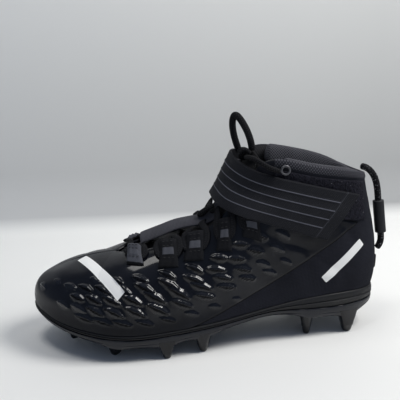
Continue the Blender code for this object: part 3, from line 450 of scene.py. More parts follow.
class Shape:
    """Points, faces, UVs in metres and material numbers of a piece that is being put together."""

    def __init__(self):
        self.points, self.faces, self.uvs, self.slots, self.count = [], [], [], [], 0

    def add_points(self, points):
        first = self.count
        points = np.asarray(points, float).reshape(-1, 3)
        self.points.append(points)
        self.count += len(points)
        return first

    def add_faces(self, faces, uvs, slot=0):
        self.faces += [tuple(int(v) for v in face) for face in faces]
        self.uvs += [np.asarray(uv, float) for uv in uvs]
        self.slots += [slot] * len(faces) if np.isscalar(slot) else list(slot)

    def add_grid(self, points, uv, slot=0, closed=False, flip=False):
        """Sheet of quads over a grid of points [column][row], with its own grid of UVs."""
        columns, rows = points.shape[:2]
        first = self.add_points(points)
        i, j = np.meshgrid(np.arange(columns if closed else columns - 1), np.arange(rows - 1), indexing="ij")
        corners = [(i, j), (i + 1, j), (i + 1, j + 1), (i, j + 1)]
        if flip:
            corners = corners[::-1]
        faces = np.stack([first + (a % columns) * rows + b for a, b in corners], -1).reshape(-1, 4)
        if closed and len(uv) == columns:
            uv = np.concatenate([uv, uv[:1]])
        uvs = np.stack([uv[a, b] for a, b in corners], -2).reshape(-1, 4, 2)
        self.add_faces(faces, uvs, slot)
        return first

    def add_loft(self, rings, uv, slot=0, caps=True):
        """Closed tube over rings of points [ring][point], its ends closed by fans."""
        rings = np.asarray(rings)
        count, sides = rings.shape[:2]
        first = self.add_points(rings)
        i, j = np.meshgrid(np.arange(count - 1), np.arange(sides), indexing="ij")
        corners = [(i, j), (i, j + 1), (i + 1, j + 1), (i + 1, j)]
        faces = np.stack([first + a * sides + b % sides for a, b in corners], -1).reshape(-1, 4)
        uvs = np.stack([uv[a, b] for a, b in corners], -2).reshape(-1, 4, 2)
        self.add_faces(faces, uvs, slot)
        if caps:
            for ring, order in ((0, -1), (count - 1, 1)):
                middle = self.add_points(rings[ring].mean(0))
                centre = uv[ring].mean(0)
                for k in range(sides):
                    face = [first + ring * sides + k, first + ring * sides + (k + 1) % sides, middle][::order]
                    spots = [uv[ring, k], uv[ring, k + 1], centre][::order]
                    self.add_faces([face], [spots], slot)
        return first

    def make(self, name, materials, merge=0.00002, angle=None, fields=None):
        """Finished object, with doubles merged, its faces pointing out and smooth shading."""
        mesh = bpy.data.meshes.new(name)
        mesh.from_pydata((np.concatenate(self.points) + ORIGIN).tolist(), [], self.faces)
        layer = mesh.uv_layers.new(name="UVMap")
        layer.data.foreach_set("uv", np.concatenate(self.uvs).ravel().astype(np.float32))
        mesh.polygons.foreach_set("material_index", self.slots)
        for field, values in (fields or {}).items():
            data = mesh.attributes.new(field, "FLOAT", "POINT")
            data.data.foreach_set("value", np.asarray(values, np.float32).ravel())
        for made_of in materials:
            mesh.materials.append(made_of)
        work = bmesh.new()
        work.from_mesh(mesh)
        bmesh.ops.remove_doubles(work, verts=work.verts, dist=merge)
        bmesh.ops.dissolve_degenerate(work, edges=work.edges, dist=merge)
        loose = [vert for vert in work.verts if not vert.link_faces]
        bmesh.ops.delete(work, geom=loose, context="VERTS")
        bmesh.ops.recalc_face_normals(work, faces=work.faces)
        work.to_mesh(mesh)
        work.free()
        piece = bpy.data.objects.new(name, mesh)
        bpy.context.scene.collection.objects.link(piece)
        mesh.polygons.foreach_set("use_smooth", [True] * len(mesh.polygons))
        if angle is not None:
            mesh.set_sharp_from_angle(angle=math.radians(angle))
        return piece


def wall_rings(outer, inner, along, across, edge=0.0004):
    """Rings round a flat band with rounded edges, and their UVs, from grids [station][row] of its faces."""
    def side(row, other):
        middle = (outer[:, row] + inner[:, row]) / 2
        return middle + unit(outer[:, row] - outer[:, other]) * edge
    first, last = side(0, 1), side(-1, -2)
    rings = np.concatenate([outer, last[:, None], inner[:, ::-1], first[:, None]], 1)
    spots = np.concatenate([across, across[:, -1:], across[:, ::-1], across[:, :1], across[:, :1]], 1)
    run = np.concatenate([along, along[:, -1:], along[:, ::-1], along[:, :1], along[:, :1]], 1)
    return rings, np.stack([run, spots], -1)


def tube_rings(path, radius, sides=14, flat=1.0, normals=None):
    """Rings and UVs of a tube along a path: flat is its thickness as a share of its width."""
    path = np.asarray(path, float)
    tangent = unit(np.gradient(path, axis=0))
    if normals is None:
        normals = [np.cross(tangent[0], (0.31, 0.85, 0.42))]
        for step in tangent[1:]:
            normals.append(normals[-1] - step * np.dot(normals[-1], step))
        normals = np.array(normals)
    across = unit(np.cross(tangent, normals))
    face = unit(np.cross(across, tangent))
    radius = np.broadcast_to(radius, len(path))[:, None, None]
    angle = np.linspace(0, 2 * math.pi, sides, endpoint=False)
    wide, thick = np.cos(angle), np.sin(angle)
    if flat < 1.0:
        wide = np.sign(wide) * np.abs(wide) ** 0.6
        thick = np.sign(thick) * np.abs(thick) ** 0.6
    rings = (path[:, None] + across[:, None] * wide[None, :, None] * radius
             + face[:, None] * thick[None, :, None] * radius * flat)
    girth = 2 * math.pi * float(radius.mean()) * (1 + flat) / 2
    run = lengths_along(path)
    uv = np.stack(np.meshgrid(run, np.linspace(0, girth, sides + 1), indexing="ij"), -1)
    return rings, uv


def ends_rounded(path, radius, share=0.6):
    """Radius along a path, drawn in at both ends."""
    run = lengths_along(path)
    near = np.minimum(run, run[-1] - run) / (radius * share)
    return radius * np.sqrt(1 - (1 - np.clip(near, 0.0, 1.0)) ** 2 * 0.8)


def add_stitches(shape, path, normals, slot=0, length=0.0022, gap=0.0011, radius=0.00032):
    """Row of short threads lying on a surface along a path."""
    run = lengths_along(path)
    for start in np.arange(gap, run[-1] - length, length + gap):
        at = np.linspace(start, start + length, 6)
        thread = np.stack([np.interp(at, run, path[:, k]) for k in range(3)], -1)
        lift = np.stack([np.interp(at, run, normals[:, k]) for k in range(3)], -1)
        bow = np.sin(np.linspace(0, math.pi, 6))[:, None]
        thread = thread + lift * radius * (bow * 1.3 - 0.5)
        rings, uv = tube_rings(thread, radius * (0.45 + 0.55 * bow[:, 0]), 6, normals=lift)
        shape.add_loft(rings, uv, slot)


def settle(piece, slot, *nodes):
    """Let a piece ride on the shoe and stand for its solids."""
    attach(piece, "root")
    if nodes:
        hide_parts(*nodes)
    return piece


def solid_tree(*names):
    """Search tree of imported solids, in the shoe's own frame."""
    points, faces = [], []
    for name in names:
        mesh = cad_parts[name].data
        first = len(points)
        points += [Vector(vertex.co) - Vector(ORIGIN) for vertex in mesh.vertices]
        faces += [[first + corner for corner in face.vertices] for face in mesh.polygons]
    return BVHTree.FromPolygons(points, faces)


# Materials

def linear(code):
    """Linear colour of a hex code."""
    parts = [int(code[k:k + 2], 16) / 255 for k in (1, 3, 5)]
    return tuple(p / 12.92 if p <= 0.04045 else ((p + 0.055) / 1.055) ** 2.4 for p in parts)


def add_node(tree, kind, settings=None, inputs=None, links=None):
    """Node with its settings, the values of its inputs and its links."""
    made = tree.nodes.new(kind)
    for key, value in (settings or {}).items():
        setattr(made, key, value)
    for key, value in (inputs or {}).items():
        made.inputs[key].default_value = value
    for key, source in (links or {}).items():
        tree.links.new(source, made.inputs[key])
    return made


def start_material(name, roughness, **constants):
    """Material with a Principled shader whose constants are set, and its tree."""
    made = bpy.data.materials.new(name)
    made.use_nodes = True
    tree = made.node_tree
    shader = tree.nodes["Principled BSDF"]
    shader.inputs["Roughness"].default_value = roughness
    for key, value in constants.items():
        shader.inputs[key.replace("_", " ").title().replace("Ior", "IOR")].default_value = value
    return made, tree, shader


def mix_colour(tree, factor, first, second):
    """Output of a colour mix between two linear colours or outputs."""
    made = add_node(tree, "ShaderNodeMix", {"data_type": "RGBA"})
    for index, value in ((0, factor), (6, first), (7, second)):
        if isinstance(value, bpy.types.NodeSocket):
            tree.links.new(value, made.inputs[index])
        else:
            made.inputs[index].default_value = value if index == 0 else (*value, 1.0)
    return made.outputs[2]


def mapped(tree, source, low, high, to_low=0.0, to_high=1.0):
    """Output of a value scaled from one range to another, held at its ends."""
    return add_node(
        tree, "ShaderNodeMapRange",
        inputs={"From Min": low, "From Max": high, "To Min": to_low, "To Max": to_high},
        links={"Value": source},
    ).outputs["Result"]


def maths(tree, operation, first, second=0.0):
    """Output of a sum on two outputs or numbers."""
    made = add_node(tree, "ShaderNodeMath", {"operation": operation})
    for index, value in enumerate((first, second)):
        if isinstance(value, bpy.types.NodeSocket):
            tree.links.new(value, made.inputs[index])
        else:
            made.inputs[index].default_value = value
    return made.outputs[0]


def threads(tree, pitch, turn=0.0, source=None):
    """Output of even threads across a UV map, one each pitch in metres, turned by an angle."""
    source = source or add_node(tree, "ShaderNodeTexCoord").outputs["UV"]
    placed = add_node(
        tree, "ShaderNodeMapping", inputs={"Rotation": (0, 0, math.radians(turn))}, links={"Vector": source})
    return add_node(
        tree, "ShaderNodeTexWave", {"wave_type": "BANDS", "bands_direction": "X", "wave_profile": "SIN"},
        inputs={"Scale": WAVE_SCALE / pitch, "Distortion": 0.0, "Detail": 0.0},
        links={"Vector": placed.outputs[0]},
    ).outputs["Fac"]


def noise(tree, size, detail=3.0, roughness=0.55):
    """Output of noise over the object, with spots of a size in metres."""
    place = add_node(tree, "ShaderNodeTexCoord").outputs["Object"]
    return add_node(
        tree, "ShaderNodeTexNoise", inputs={"Scale": 1.0 / size, "Detail": detail, "Roughness": roughness},
        links={"Vector": place}).outputs["Fac"]


def bump(tree, shader, height, distance, strength=1.0, base=None):
    """Bump of a height over a distance in metres, on the shader's normal."""
    links = {"Height": height}
    if base is not None:
        links["Normal"] = base
    made = add_node(tree, "ShaderNodeBump", inputs={"Strength": strength, "Distance": distance}, links=links)
    tree.links.new(made.outputs[0], shader.inputs["Normal"])
    return made.outputs[0]


def woven(name, dark, light, pitch, roughness=0.9, turns=(0.0, 90.0), relief=0.00025, patch=0.030):
    """Woven textile: crossed threads break the light up finely and leave no highlight."""
    made, tree, shader = start_material(name, roughness, specular_ior_level=0.2)
    first, second = (threads(tree, pitch, turn) for turn in turns)
    weave = maths(tree, "MAXIMUM", first, second) if turns[1] - turns[0] == 90 else maths(
        tree, "MULTIPLY", first, second)
    tone = maths(tree, "MULTIPLY", mapped(tree, weave, 0.3, 1.0, 0.25, 0.8), mapped(
        tree, noise(tree, patch), 0.3, 0.7, 0.7, 1.25))
    tree.links.new(mix_colour(tree, tone, linear(dark), linear(light)), shader.inputs["Base Color"])
    bump(tree, shader, weave, relief, 0.8)
    return made


def moulded(name, colour, worn, roughness, grain=0.0009, relief=0.00006, **constants):
    """Moulded plastic or rubber: a fine grain from the mould spreads each highlight a little."""
    made, tree, shader = start_material(name, roughness, specular_ior_level=0.35, **constants)
    fine = noise(tree, grain, 2.0)
    broad = noise(tree, 0.025, 4.0)
    tree.links.new(mix_colour(tree, mapped(tree, broad, 0.35, 0.75), linear(colour), linear(worn)),
                   shader.inputs["Base Color"])
    tree.links.new(mapped(tree, broad, 0.3, 0.75, roughness * 0.85, min(roughness * 1.3, 1.0)),
                   shader.inputs["Roughness"])
    bump(tree, shader, fine, relief, 0.6)
    return made


def braided(name, dark, light, pitch, flecks=None, roughness=0.85):
    """Braided cord or flat lace: slanting plaits, with pale flecks where they are worked in."""
    made, tree, shader = start_material(name, roughness, specular_ior_level=0.2)
    left, right = threads(tree, pitch, 35.0), threads(tree, pitch, -35.0)
    plait = maths(tree, "MULTIPLY", left, right)
    colour = mix_colour(tree, mapped(tree, plait, 0.1, 0.8), linear(dark), linear(light))
    if flecks:
        spots = mapped(tree, noise(tree, 0.0011, 0.0), 0.70, 0.76)
        colour = mix_colour(tree, spots, colour, linear(flecks))
    tree.links.new(colour, shader.inputs["Base Color"])
    bump(tree, shader, plait, 0.0004, 0.9)
    return made


def field(tree, name):
    """Output of one of the piece's own attributes."""
    return add_node(tree, "ShaderNodeAttribute", {"attribute_name": name}).outputs["Fac"]


def upper_material(look):
    """Moulded skin over woven cloth: wet gloss on the pods, dull fine weave behind the slanting seam."""
    made, tree, shader = start_material(
        "moulded_skin_over_woven_quarter", 0.6, specular_ior_level=0.05, coat_roughness=look.skin_gloss)
    seam, bar_depth, rolled_depth = field(tree, "seam"), field(tree, "bar"), field(tree, "rolled")
    on_skin, bar, rolled = (mapped(tree, depth, -0.0001, 0.0001) for depth in (seam, bar_depth, rolled_depth))
    # Painted shadow: a thin near-black line along the seam stands for the shade in the seam's groove
    line = mapped(tree, maths(tree, "ABSOLUTE", seam), 0.0004, 0.0009, 1.0, 0.0)
    weave = maths(tree, "MAXIMUM", threads(tree, look.weave_pitch), threads(tree, look.weave_pitch, 90.0))
    broad = noise(tree, 0.030, 4.0)
    worn = mapped(tree, broad, 0.3, 0.7, 0.6, 1.2)
    cloth = mix_colour(tree, maths(tree, "MULTIPLY", mapped(tree, weave, 0.3, 1.0, 0.3, 0.9), worn),
                       tuple(look.cloth_dark), tuple(look.cloth_light))
    hide = mix_colour(tree, mapped(tree, broad, 0.3, 0.75), tuple(look.skin_colour), linear("#10121a"))
    stipple = noise(tree, 0.0009, 1.0)
    dull = field(tree, "dull")
    hide = mix_colour(tree, dull, hide, mix_colour(
        tree, mapped(tree, stipple, 0.45, 0.62), linear("#020203"), linear("#131318")))
    colour = mix_colour(tree, on_skin, cloth, hide)
    # The painted seam shadow goes on here, over skin and cloth alike
    colour = mix_colour(tree, maths(tree, "MULTIPLY", line, 0.85), colour, linear("#020202"))
    mesh = maths(tree, "MULTIPLY", threads(tree, 0.0020, 45.0), threads(tree, 0.0020, -45.0))
    colour = mix_colour(tree, rolled, colour, mix_colour(tree, mesh, linear("#2b2b30"), linear("#5c5c62")))
    colour = mix_colour(tree, bar, colour, tuple(look.bar_colour))
    tree.links.new(colour, shader.inputs["Base Color"])
    covered = maths(tree, "MAXIMUM", dull, rolled)
    glossy = maths(tree, "MULTIPLY", on_skin, maths(tree, "SUBTRACT", 1.0, covered))
    smeared = mapped(tree, noise(tree, 0.010, 4.0), 0.3, 0.7, 1.0, 0.75)
    kept = maths(tree, "MULTIPLY", mapped(tree, field(tree, "scuffed"), 0.0, 1.0, 1.0, 0.4),
                 mapped(tree, bar, 0.0, 1.0, 1.0, 0.3))
    kept = maths(tree, "MULTIPLY", kept, field(tree, "wet"))
    tree.links.new(maths(tree, "MULTIPLY", maths(tree, "MULTIPLY", glossy, smeared), kept),
                   shader.inputs["Coat Weight"])
    tree.links.new(mapped(tree, glossy, 0.0, 1.0, 0.9, 0.46), shader.inputs["Roughness"])
    plain = maths(tree, "SUBTRACT", 1.0, maths(tree, "MAXIMUM", on_skin, bar))
    cover = maths(tree, "MULTIPLY", weave, plain)
    grain = maths(tree, "MULTIPLY", noise(tree, 0.0011, 2.0), maths(tree, "MULTIPLY", on_skin, 0.12))
    grain = maths(tree, "ADD", grain, maths(tree, "MULTIPLY", dull, stipple))
    bump(tree, shader, maths(tree, "ADD", cover, grain), 0.00022, 0.8)
    return made


# Sizes and colours that a user would change

class CleatSizes(bpy.types.PropertyGroup):
    """Sizes of the finished surfaces."""
    pod_height: bpy.props.FloatProperty(
        name="Pod height", description="Height of the moulded pods against their chart", default=1.25,
        min=0.0, max=1.5)
    lace_width: bpy.props.FloatProperty(
        name="Lace width", description="Width of the flat lace", default=0.0058, unit="LENGTH")
    lace_thickness: bpy.props.FloatProperty(
        name="Lace thickness", description="Thickness of the flat lace", default=0.0021, unit="LENGTH")


class CleatLooks(bpy.types.PropertyGroup):
    """Colours and finishes."""
    skin_colour: bpy.props.FloatVectorProperty(
        name="Skin", description="Moulded forefoot skin", subtype="COLOR", default=linear("#06080f"))
    cloth_dark: bpy.props.FloatVectorProperty(
        name="Quarter, dark", description="Woven quarter between its threads", subtype="COLOR",
        default=linear("#101115"))
    cloth_light: bpy.props.FloatVectorProperty(
        name="Quarter, light", description="Woven quarter on its threads", subtype="COLOR",
        default=linear("#2b2c33"))
    bar_colour: bpy.props.FloatVectorProperty(
        name="Bars", description="Plain painted bars", subtype="COLOR", default=linear("#f2f2f0"))
    floor_colour: bpy.props.FloatVectorProperty(
        name="Floor", description="Pale floor", subtype="COLOR", default=linear("#ececea"))
    wall_colour: bpy.props.FloatVectorProperty(
        name="Backdrop", description="Pale backdrop", subtype="COLOR", default=linear("#c7c8c8"))
    skin_gloss: bpy.props.FloatProperty(
        name="Skin roughness", description="Roughness of the moulded skin", default=0.10, min=0.05, max=1.0)
    weave_pitch: bpy.props.FloatProperty(
        name="Weave pitch", description="Thread spacing of the quarter, coarser than it is so that it shows",
        default=0.0012, unit="LENGTH")


def sizes():
    return bpy.context.scene.cleat_sizes


def looks():
    return bpy.context.scene.cleat_looks


# Upper

def upper_turns(count):
    """Turns of the upper's columns, even on both sides, closer together over the forefoot."""
    places = np.linspace(0, LAST, 1200)
    steps = np.linalg.norm(np.diff(form(places, np.full(1200, 0.4)), axis=0), axis=1)
    weight = np.interp(places[1:], [0, 3.5, 5, LAST], [0.62, 0.62, 1.0, 1.0])
    run = np.concatenate([[0.0], np.cumsum(steps * weight + 0.00004)])
    half = np.interp(np.linspace(0, run[-1], count // 2 + 1), run, places)
    return np.concatenate([half, TURN - half[-2:0:-1]])


def oriented(place, level, side, turn):
    """Centre of a mark on the upper, and its directions along its length and across it."""
    centre, along, _, normal = form_frame(of_side(place, side), level)
    along = along * side
    across = unit(np.cross(along, normal) * -side)
    if across[2] < 0:
        across = -across
    angle = math.radians(turn)
    length = along * math.cos(angle) + across * math.sin(angle)
    width = across * math.cos(angle) - along * math.sin(angle)
    return centre, length, width


def pod_relief(points, relief, dull):
    """Raise the moulded pods, each a long rhomb, and mark the stippled dull facet under each crest."""
    for side in (1, -1):
        for pod in PODS:
            centre, length, width = oriented(pod.place, pod.level, side, pod.turn)
            away = points - centre
            near = np.sum(away ** 2, -1) < (pod.length * 0.75 * MM) ** 2
            s = away[near] @ length / (pod.length * MM * POD_HALF_LENGTH)
            t = away[near] @ width / (pod.width * MM * POD_HALF_WIDTH) + 0.12
            narrow = np.clip(1 - np.abs(s) ** 1.9, 0.02, 1.0)
            across = t / narrow - 0.09 * (np.abs(((s * 1.7 + 0.3) % 1.0) * 2 - 1) - 0.5)
            height = np.interp(across, POD_ACROSS, POD_HEIGHTS) * np.clip(narrow * 2.4, 0.0, 1.0)
            inside = np.minimum(across - STIPPLE_LOW, STIPPLE_HIGH - across)
            stippled = np.clip(narrow * 3 - 0.3, 0, 1) * np.clip(inside * 8, 0, 1)
            raised = pod.height * MM * height * sizes().pod_height
            over = raised > relief[near]
            dull[near] = np.where(over, stippled * (pod.height > 1.15), dull[near])
            relief[near] = np.where(over, raised, relief[near])


def crease_relief(points):
    """Soft troughs and ridges of wear."""
    total = np.zeros(points.shape[:-1])
    for crease in CREASES:
        centre, length, width = oriented(crease.place, crease.level, crease.side, crease.turn)
        away = points - centre
        s = away @ length / (crease.length * MM / 2)
        t = away @ width / (crease.width * MM / 2) + 0.25 * np.sin(s * 2.1)
        near = np.sum(away ** 2, -1) < 0.0016
        total -= near * crease.depth * MM * np.exp(-s ** 2 * 1.4 - t ** 2)
    return total


def bar_distance(points):
    """How far each point lies inside one of the painted bars, in metres."""
    inside = np.full(points.shape[:-1], -1.0)
    for first, second, width in BARS:
        start, end = form(*first), form(*second)
        middle = form_frame((first[0] + second[0]) / 2, (first[1] + second[1]) / 2)[3]
        along = unit(end - start)
        across = unit(np.cross(middle, along))
        run, off = (points - start) @ along, np.abs((points - start) @ across)
        length = np.linalg.norm(end - start)
        lateral = (points - start) @ unit(np.cross(along, across))
        depth = np.minimum(np.minimum(run, length - run), width * MM / 2 - off)
        inside = np.maximum(inside, np.where(np.abs(lateral) < 0.016, depth, -1.0))
    return inside


def make_upper():
    turns = upper_turns(820)
    levels = np.linspace(0, 1, 94) ** 1.04
    grid_turn, grid_level = np.meshgrid(turns, levels, indexing="ij")
    points, normals = form(grid_turn, grid_level), outward(grid_turn, grid_level)
    seam = seam_distance(points)
    relief = np.zeros(grid_turn.shape)
    dull = np.zeros(grid_turn.shape)
    pod_relief(points, relief, dull)
    bar = bar_distance(points)
    relief *= np.clip(seam / 0.002, 0.0, 1.0) * np.clip(-bar / 0.0012, 0.0, 1.0)
    dull *= bar < 0
    toward_toe = np.clip((points[..., 0] - 0.01) / 0.11, 0.0, 1.0)
    on_pods = np.clip(relief / 0.0005, 0.0, 1.0) * (0.55 + 0.45 * toward_toe)
    wet = np.maximum(on_pods, 0.06 + 0.54 * toward_toe)
    relief += SKIN_STEP * np.clip(seam / 0.0012, 0.0, 1.0) + crease_relief(points)
    along, across, up = np.moveaxis(points, -1, 0)
    wave = np.sin(along * 210 + up * 90) * np.sin(up * 260 - across * 120)
    relief += 0.00012 * wave
    place = np.minimum(grid_turn, TURN - grid_turn)
    collar = np.clip((5.9 - place) / 0.5, 0.0, 1.0)
    rolled = (grid_level - 0.952) * 0.11
    relief += collar * 0.0011 * np.clip((grid_level - 0.945) / 0.02, 0, 1) * np.sqrt(
        np.clip((1.012 - grid_level) / 0.05, 0, 1))
    relief -= 0.0007 * np.clip((grid_level - 0.965) / 0.035, 0, 1) ** 2 * (1 - collar)
    outer = points + normals * relief[..., None]
    inner_levels = np.linspace(0, 1, 14)
    inner_turn, inner_level = np.meshgrid(turns, inner_levels, indexing="ij")
    inner = form(inner_turn, inner_level) - outward(inner_turn, inner_level) * UPPER_WALL
    run = np.concatenate([lengths_along(form(turns, np.full(len(turns), 0.35))), [0.0]])
    run[-1] = run[-2] + (run[1] - run[0])
    shape = Shape()
    height = lengths_along(form(np.full(len(levels), 4.0), levels))
    uv = np.stack(np.meshgrid(run, height, indexing="ij"), -1)
    shape.add_grid(outer, uv, closed=True, flip=True)
    inner_uv = np.stack(np.meshgrid(run, np.linspace(0, height[-1], len(inner_levels)), indexing="ij"), -1)
    shape.add_grid(inner, inner_uv, slot=1, closed=True)
    columns = len(turns)
    total = outer.shape[0] * outer.shape[1]
    open_top = throat_share(turns) != 0
    rim = (outer[:, -1] + inner[:, -1]) / 2 + form_frame(turns, np.ones(columns))[2] * 0.0007
    first = shape.add_points(rim)
    outer_top = np.arange(columns) * len(levels) + len(levels) - 1
    inner_top = total + np.arange(columns) * len(inner_levels) + len(inner_levels) - 1
    outer_low = np.arange(columns) * len(levels)
    inner_low = total + np.arange(columns) * len(inner_levels)
    for i in range(columns):
        j = (i + 1) % columns
        spots = [(run[i], 0.1), (run[i + 1], 0.1), (run[i + 1], 0.101), (run[i], 0.101)]
        shape.add_faces([(outer_low[i], outer_low[j], inner_low[j], inner_low[i])], [spots], 1)
        if open_top[i] or open_top[j]:
            shape.add_faces([(outer_top[i], outer_top[j], first + j, first + i),
                             (first + i, first + j, inner_top[j], inner_top[i])], [spots, spots], 0)
    for i in np.flatnonzero(~open_top):
        shape.points[-1][i] = outer[i, -1]
    count = shape.count
    filled = {"seam": -1.0, "rolled": -1.0, "bar": -1.0, "dull": 0.0, "scuffed": 0.0, "wet": 0.1}
    fields = {name: np.full(count, fill) for name, fill in filled.items()}
    fields["seam"][:total] = seam.ravel()
    fields["rolled"][:total] = np.where(collar > 0.5, rolled, -1.0).ravel()
    fields["rolled"][total + inner.shape[0] * inner.shape[1]:] = np.where(collar[:, -1] > 0.5, 1.0, -1.0)
    fields["seam"][total + inner.shape[0] * inner.shape[1]:] = np.where(collar[:, -1] > 0.5, -1.0, 1.0)
    fields["bar"][:total] = bar.ravel()
    fields["dull"][:total] = dull.ravel()
    fields["wet"][:total] = wet.ravel()
    fields["scuffed"][:total] = np.clip(1.0 - (grid_level - 0.05) / 0.10, 0.0, 1.0).ravel()
    lining = woven("knitted_lining", "#161618", "#3a3a3e", 0.0020, turns=(45.0, -45.0))
    piece = shape.make("upper_shell", [upper_material(looks()), lining], fields=fields)
    return settle(piece, "upper_skin", "upper")


# Tongue, padding and insole

def crown_direction(place):
    """Direction in which the tongue bows out, at one place or at many."""
    edge = form(place + 0.05, 1.0) - form(place - 0.05, 1.0)
    return unit(np.stack([-edge[..., 2], 0 * edge[..., 0], edge[..., 0]], -1))


def tongue_point(place, across):
    """Point of the tongue's outer face, across from 1 under the lateral eyestay to -1 medial."""
    place, across = np.broadcast_arrays(np.asarray(place, float), np.asarray(across, float))
    turn = np.where(across >= 0, place, TURN - place)
    lift = -UPPER_WALL - 5 * CLEARANCE
    edge, other, under = skin(turn, 0.99, lift), skin(TURN - turn, 0.99, lift), skin(turn, 0.90, lift)
    share = np.abs(across)[..., None]
    middle = (edge + other) / 2
    width = np.linalg.norm(edge - other, axis=-1, keepdims=True)
    crowned = middle + (edge - middle) * share / 0.75
    crowned = crowned + crown_direction(place) * width * 0.10 * (1 - (share / 0.75) ** 2)
    return np.where(share > 0.75, edge + (under - edge) * (share - 0.75) / 0.25, crowned)


def make_tongue():
    places = np.linspace(12.6, 6.6, 61)
    acrosses = np.concatenate([
        np.linspace(1, 0.75, 4)[:-1], np.linspace(0.75, -0.75, 25), np.linspace(-0.75, -1, 4)[1:]])
    rows = list(tongue_point(places[:, None], acrosses[None, :]))
    rise = unit(np.array([-0.10, 0.0, 1.0]))
    top = np.array(rows[-1])
    for step in np.linspace(0.1, 1.0, 10):
        height = 0.07 * UPPER_HEIGHT * step * (1 - 0.25 * acrosses ** 2)
        drawn = np.stack([top[:, 0], top[:, 1] * (1 - 0.12 * step), top[:, 2]], -1)
        rows.append(drawn + rise * height[:, None])
    grid = np.array(rows)
    normal = unit(np.cross(np.gradient(grid, axis=0), np.gradient(grid, axis=1)))
    if normal[30, 12, 2] < 0:
        normal = -normal
    run = lengths_along(grid[:, 15])
    puff = np.sin(run / 0.0125 * math.pi) ** 2
    middle = np.clip(1 - np.abs(acrosses) / 0.7, 0, 1) ** 0.5
    end = np.clip((run[-1] - run) / 0.005, 0, 1)
    thick = TONGUE_WALL * (0.35 + 0.65 * np.sqrt(1 - (1 - end) ** 2))
    outer = grid + normal * (0.0007 * puff[:, None] * middle[None, :])[..., None]
    inner = grid - normal * thick[:, None, None]
    along = np.repeat(run[:, None], len(acrosses), 1)
    across = np.repeat((acrosses * 0.032)[None, :], len(run), 0)
    shape = Shape()
    shape.add_loft(*wall_rings(outer, inner, along, across, edge=0.001))
    cloth = woven("padded_tongue_cloth", "#0b0b0c", "#2c2c2e", 0.0013)
    piece = settle(shape.make("padded_tongue", [cloth]), "tongue_cloth", "tongue")
    return piece


def make_padding():
    turns = np.linspace(-5.3, 5.3, 150)
    angles = np.linspace(0, 2 * math.pi, 28, endpoint=False)
    point, _, upward, normal = form_frame(turns % TURN, np.full(len(turns), 0.97))
    half, depth = PADDING_THICKNESS / 2, PADDING_DEPTH / 2
    centre = point - normal * (UPPER_WALL + 2 * CLEARANCE + half) - upward * depth * 0.45
    pucker = 1 + 0.10 * np.sin(turns * 6.0) * np.exp(-(np.abs(turns) - 4.2) ** 2)
    taper = np.sqrt(np.clip((5.3 - np.abs(turns)) / 0.25, 0.15, 1))
    swell = (pucker * taper)[:, None, None]
    wide = np.sign(np.cos(angles)) * np.abs(np.cos(angles)) ** 0.8
    rings = (centre[:, None] + normal[:, None] * wide[None, :, None] * half * swell
             + upward[:, None] * np.sin(angles)[None, :, None] * depth * taper[:, None, None])
    round_roll = np.linspace(0, 0.046, len(angles) + 1)
    uv = np.stack(np.meshgrid(lengths_along(centre), round_roll, indexing="ij"), -1)
    shape = Shape()
    shape.add_loft(rings, uv)
    mesh_cloth, tree, shader = start_material("open_mesh_lining", 0.85, specular_ior_level=0.2)
    # Spacer mesh: small diamond holes at 1.6 mm, dark inside, with pale knitted bars between them
    holes = maths(tree, "MULTIPLY", threads(tree, 0.0016, 52.0), threads(tree, 0.0016, -52.0))
    tree.links.new(mix_colour(tree, mapped(tree, holes, 0.12, 0.5), linear("#56565c"), linear("#212125")),
                   shader.inputs["Base Color"])
    bump(tree, shader, maths(tree, "SUBTRACT", 1.0, holes), 0.0005, 0.8)
    piece = settle(shape.make("collar_lining", [mesh_cloth]), "collar_mesh", "collar_padding")
    return piece


def ring_wall(heights, offsets, count=420):
    """Grid round the sole's outline, one row for each height function and offset."""
    turns = np.linspace(0, TURN, count, endpoint=False)
    rows = []
    for height, offset in zip(heights, offsets):
        plan = outline(turns, offset(turns) if callable(offset) else offset)
        rows.append(np.concatenate([plan, height(turns)[:, None]], -1))
    return np.stack(rows, 1)


def sole_piece(heights, offsets, top=None, bottom=None):
    """Closed piece of the sole: a wall round the outline between two sheets."""
    shape = Shape()
    wall = ring_wall(heights, offsets)
    run = lengths_along(wall[:, 0])
    whole_run = np.append(run, run[-1] + run[1])
    uv = np.stack(np.meshgrid(whole_run, np.arange(len(heights)) * 0.002, indexing="ij"), -1)
    shape.add_grid(wall, uv, closed=True)
    half = wall.shape[0] // 2
    for row, lift in ((0, bottom), (len(heights) - 1, top)):
        lateral, medial = wall[:half + 1, row], wall[np.r_[0, -1:-half - 1:-1], row]
        share = np.linspace(0, 1, 19)[None, :, None]
        sheet = lateral[:, None] * (1 - share) + medial[:, None] * share
        if lift is not None:
            sheet = sheet + lift(sheet, np.linspace(0, 1, 19)[None, :])[..., None] * np.array([0, 0, 1.0])
        shape.add_grid(sheet, sheet[..., :2].copy(), closed=False)
    return shape


def level_between(low, high, share):
    return lambda turn: low(turn) * (1 - share) + high(turn) * share


def make_insole():
    inset = -(UPPER_WALL + 2 * CLEARANCE)
    base = lambda turn: sole_line(turn) + CLEARANCE
    crown = lambda turn: sole_line(turn) + CLEARANCE + INSOLE_THICKNESS
    heights = [base, level_between(base, crown, 0.2), level_between(base, crown, 0.8), crown, crown]
    offsets = [inset - 0.0005, inset, inset - 0.0002, inset - 0.0008, inset - 0.0016]
    dish = lambda sheet, share: -0.0010 * np.sin(share * math.pi) ** 0.7
    shape = sole_piece(heights, offsets, top=dish)
    cloth = woven("insole_top_cloth", "#0d0d0e", "#2a2a2c", 0.0016)
    return settle(shape.make("sockliner", [cloth], angle=50), "insole_cloth", "insole")


# Sole

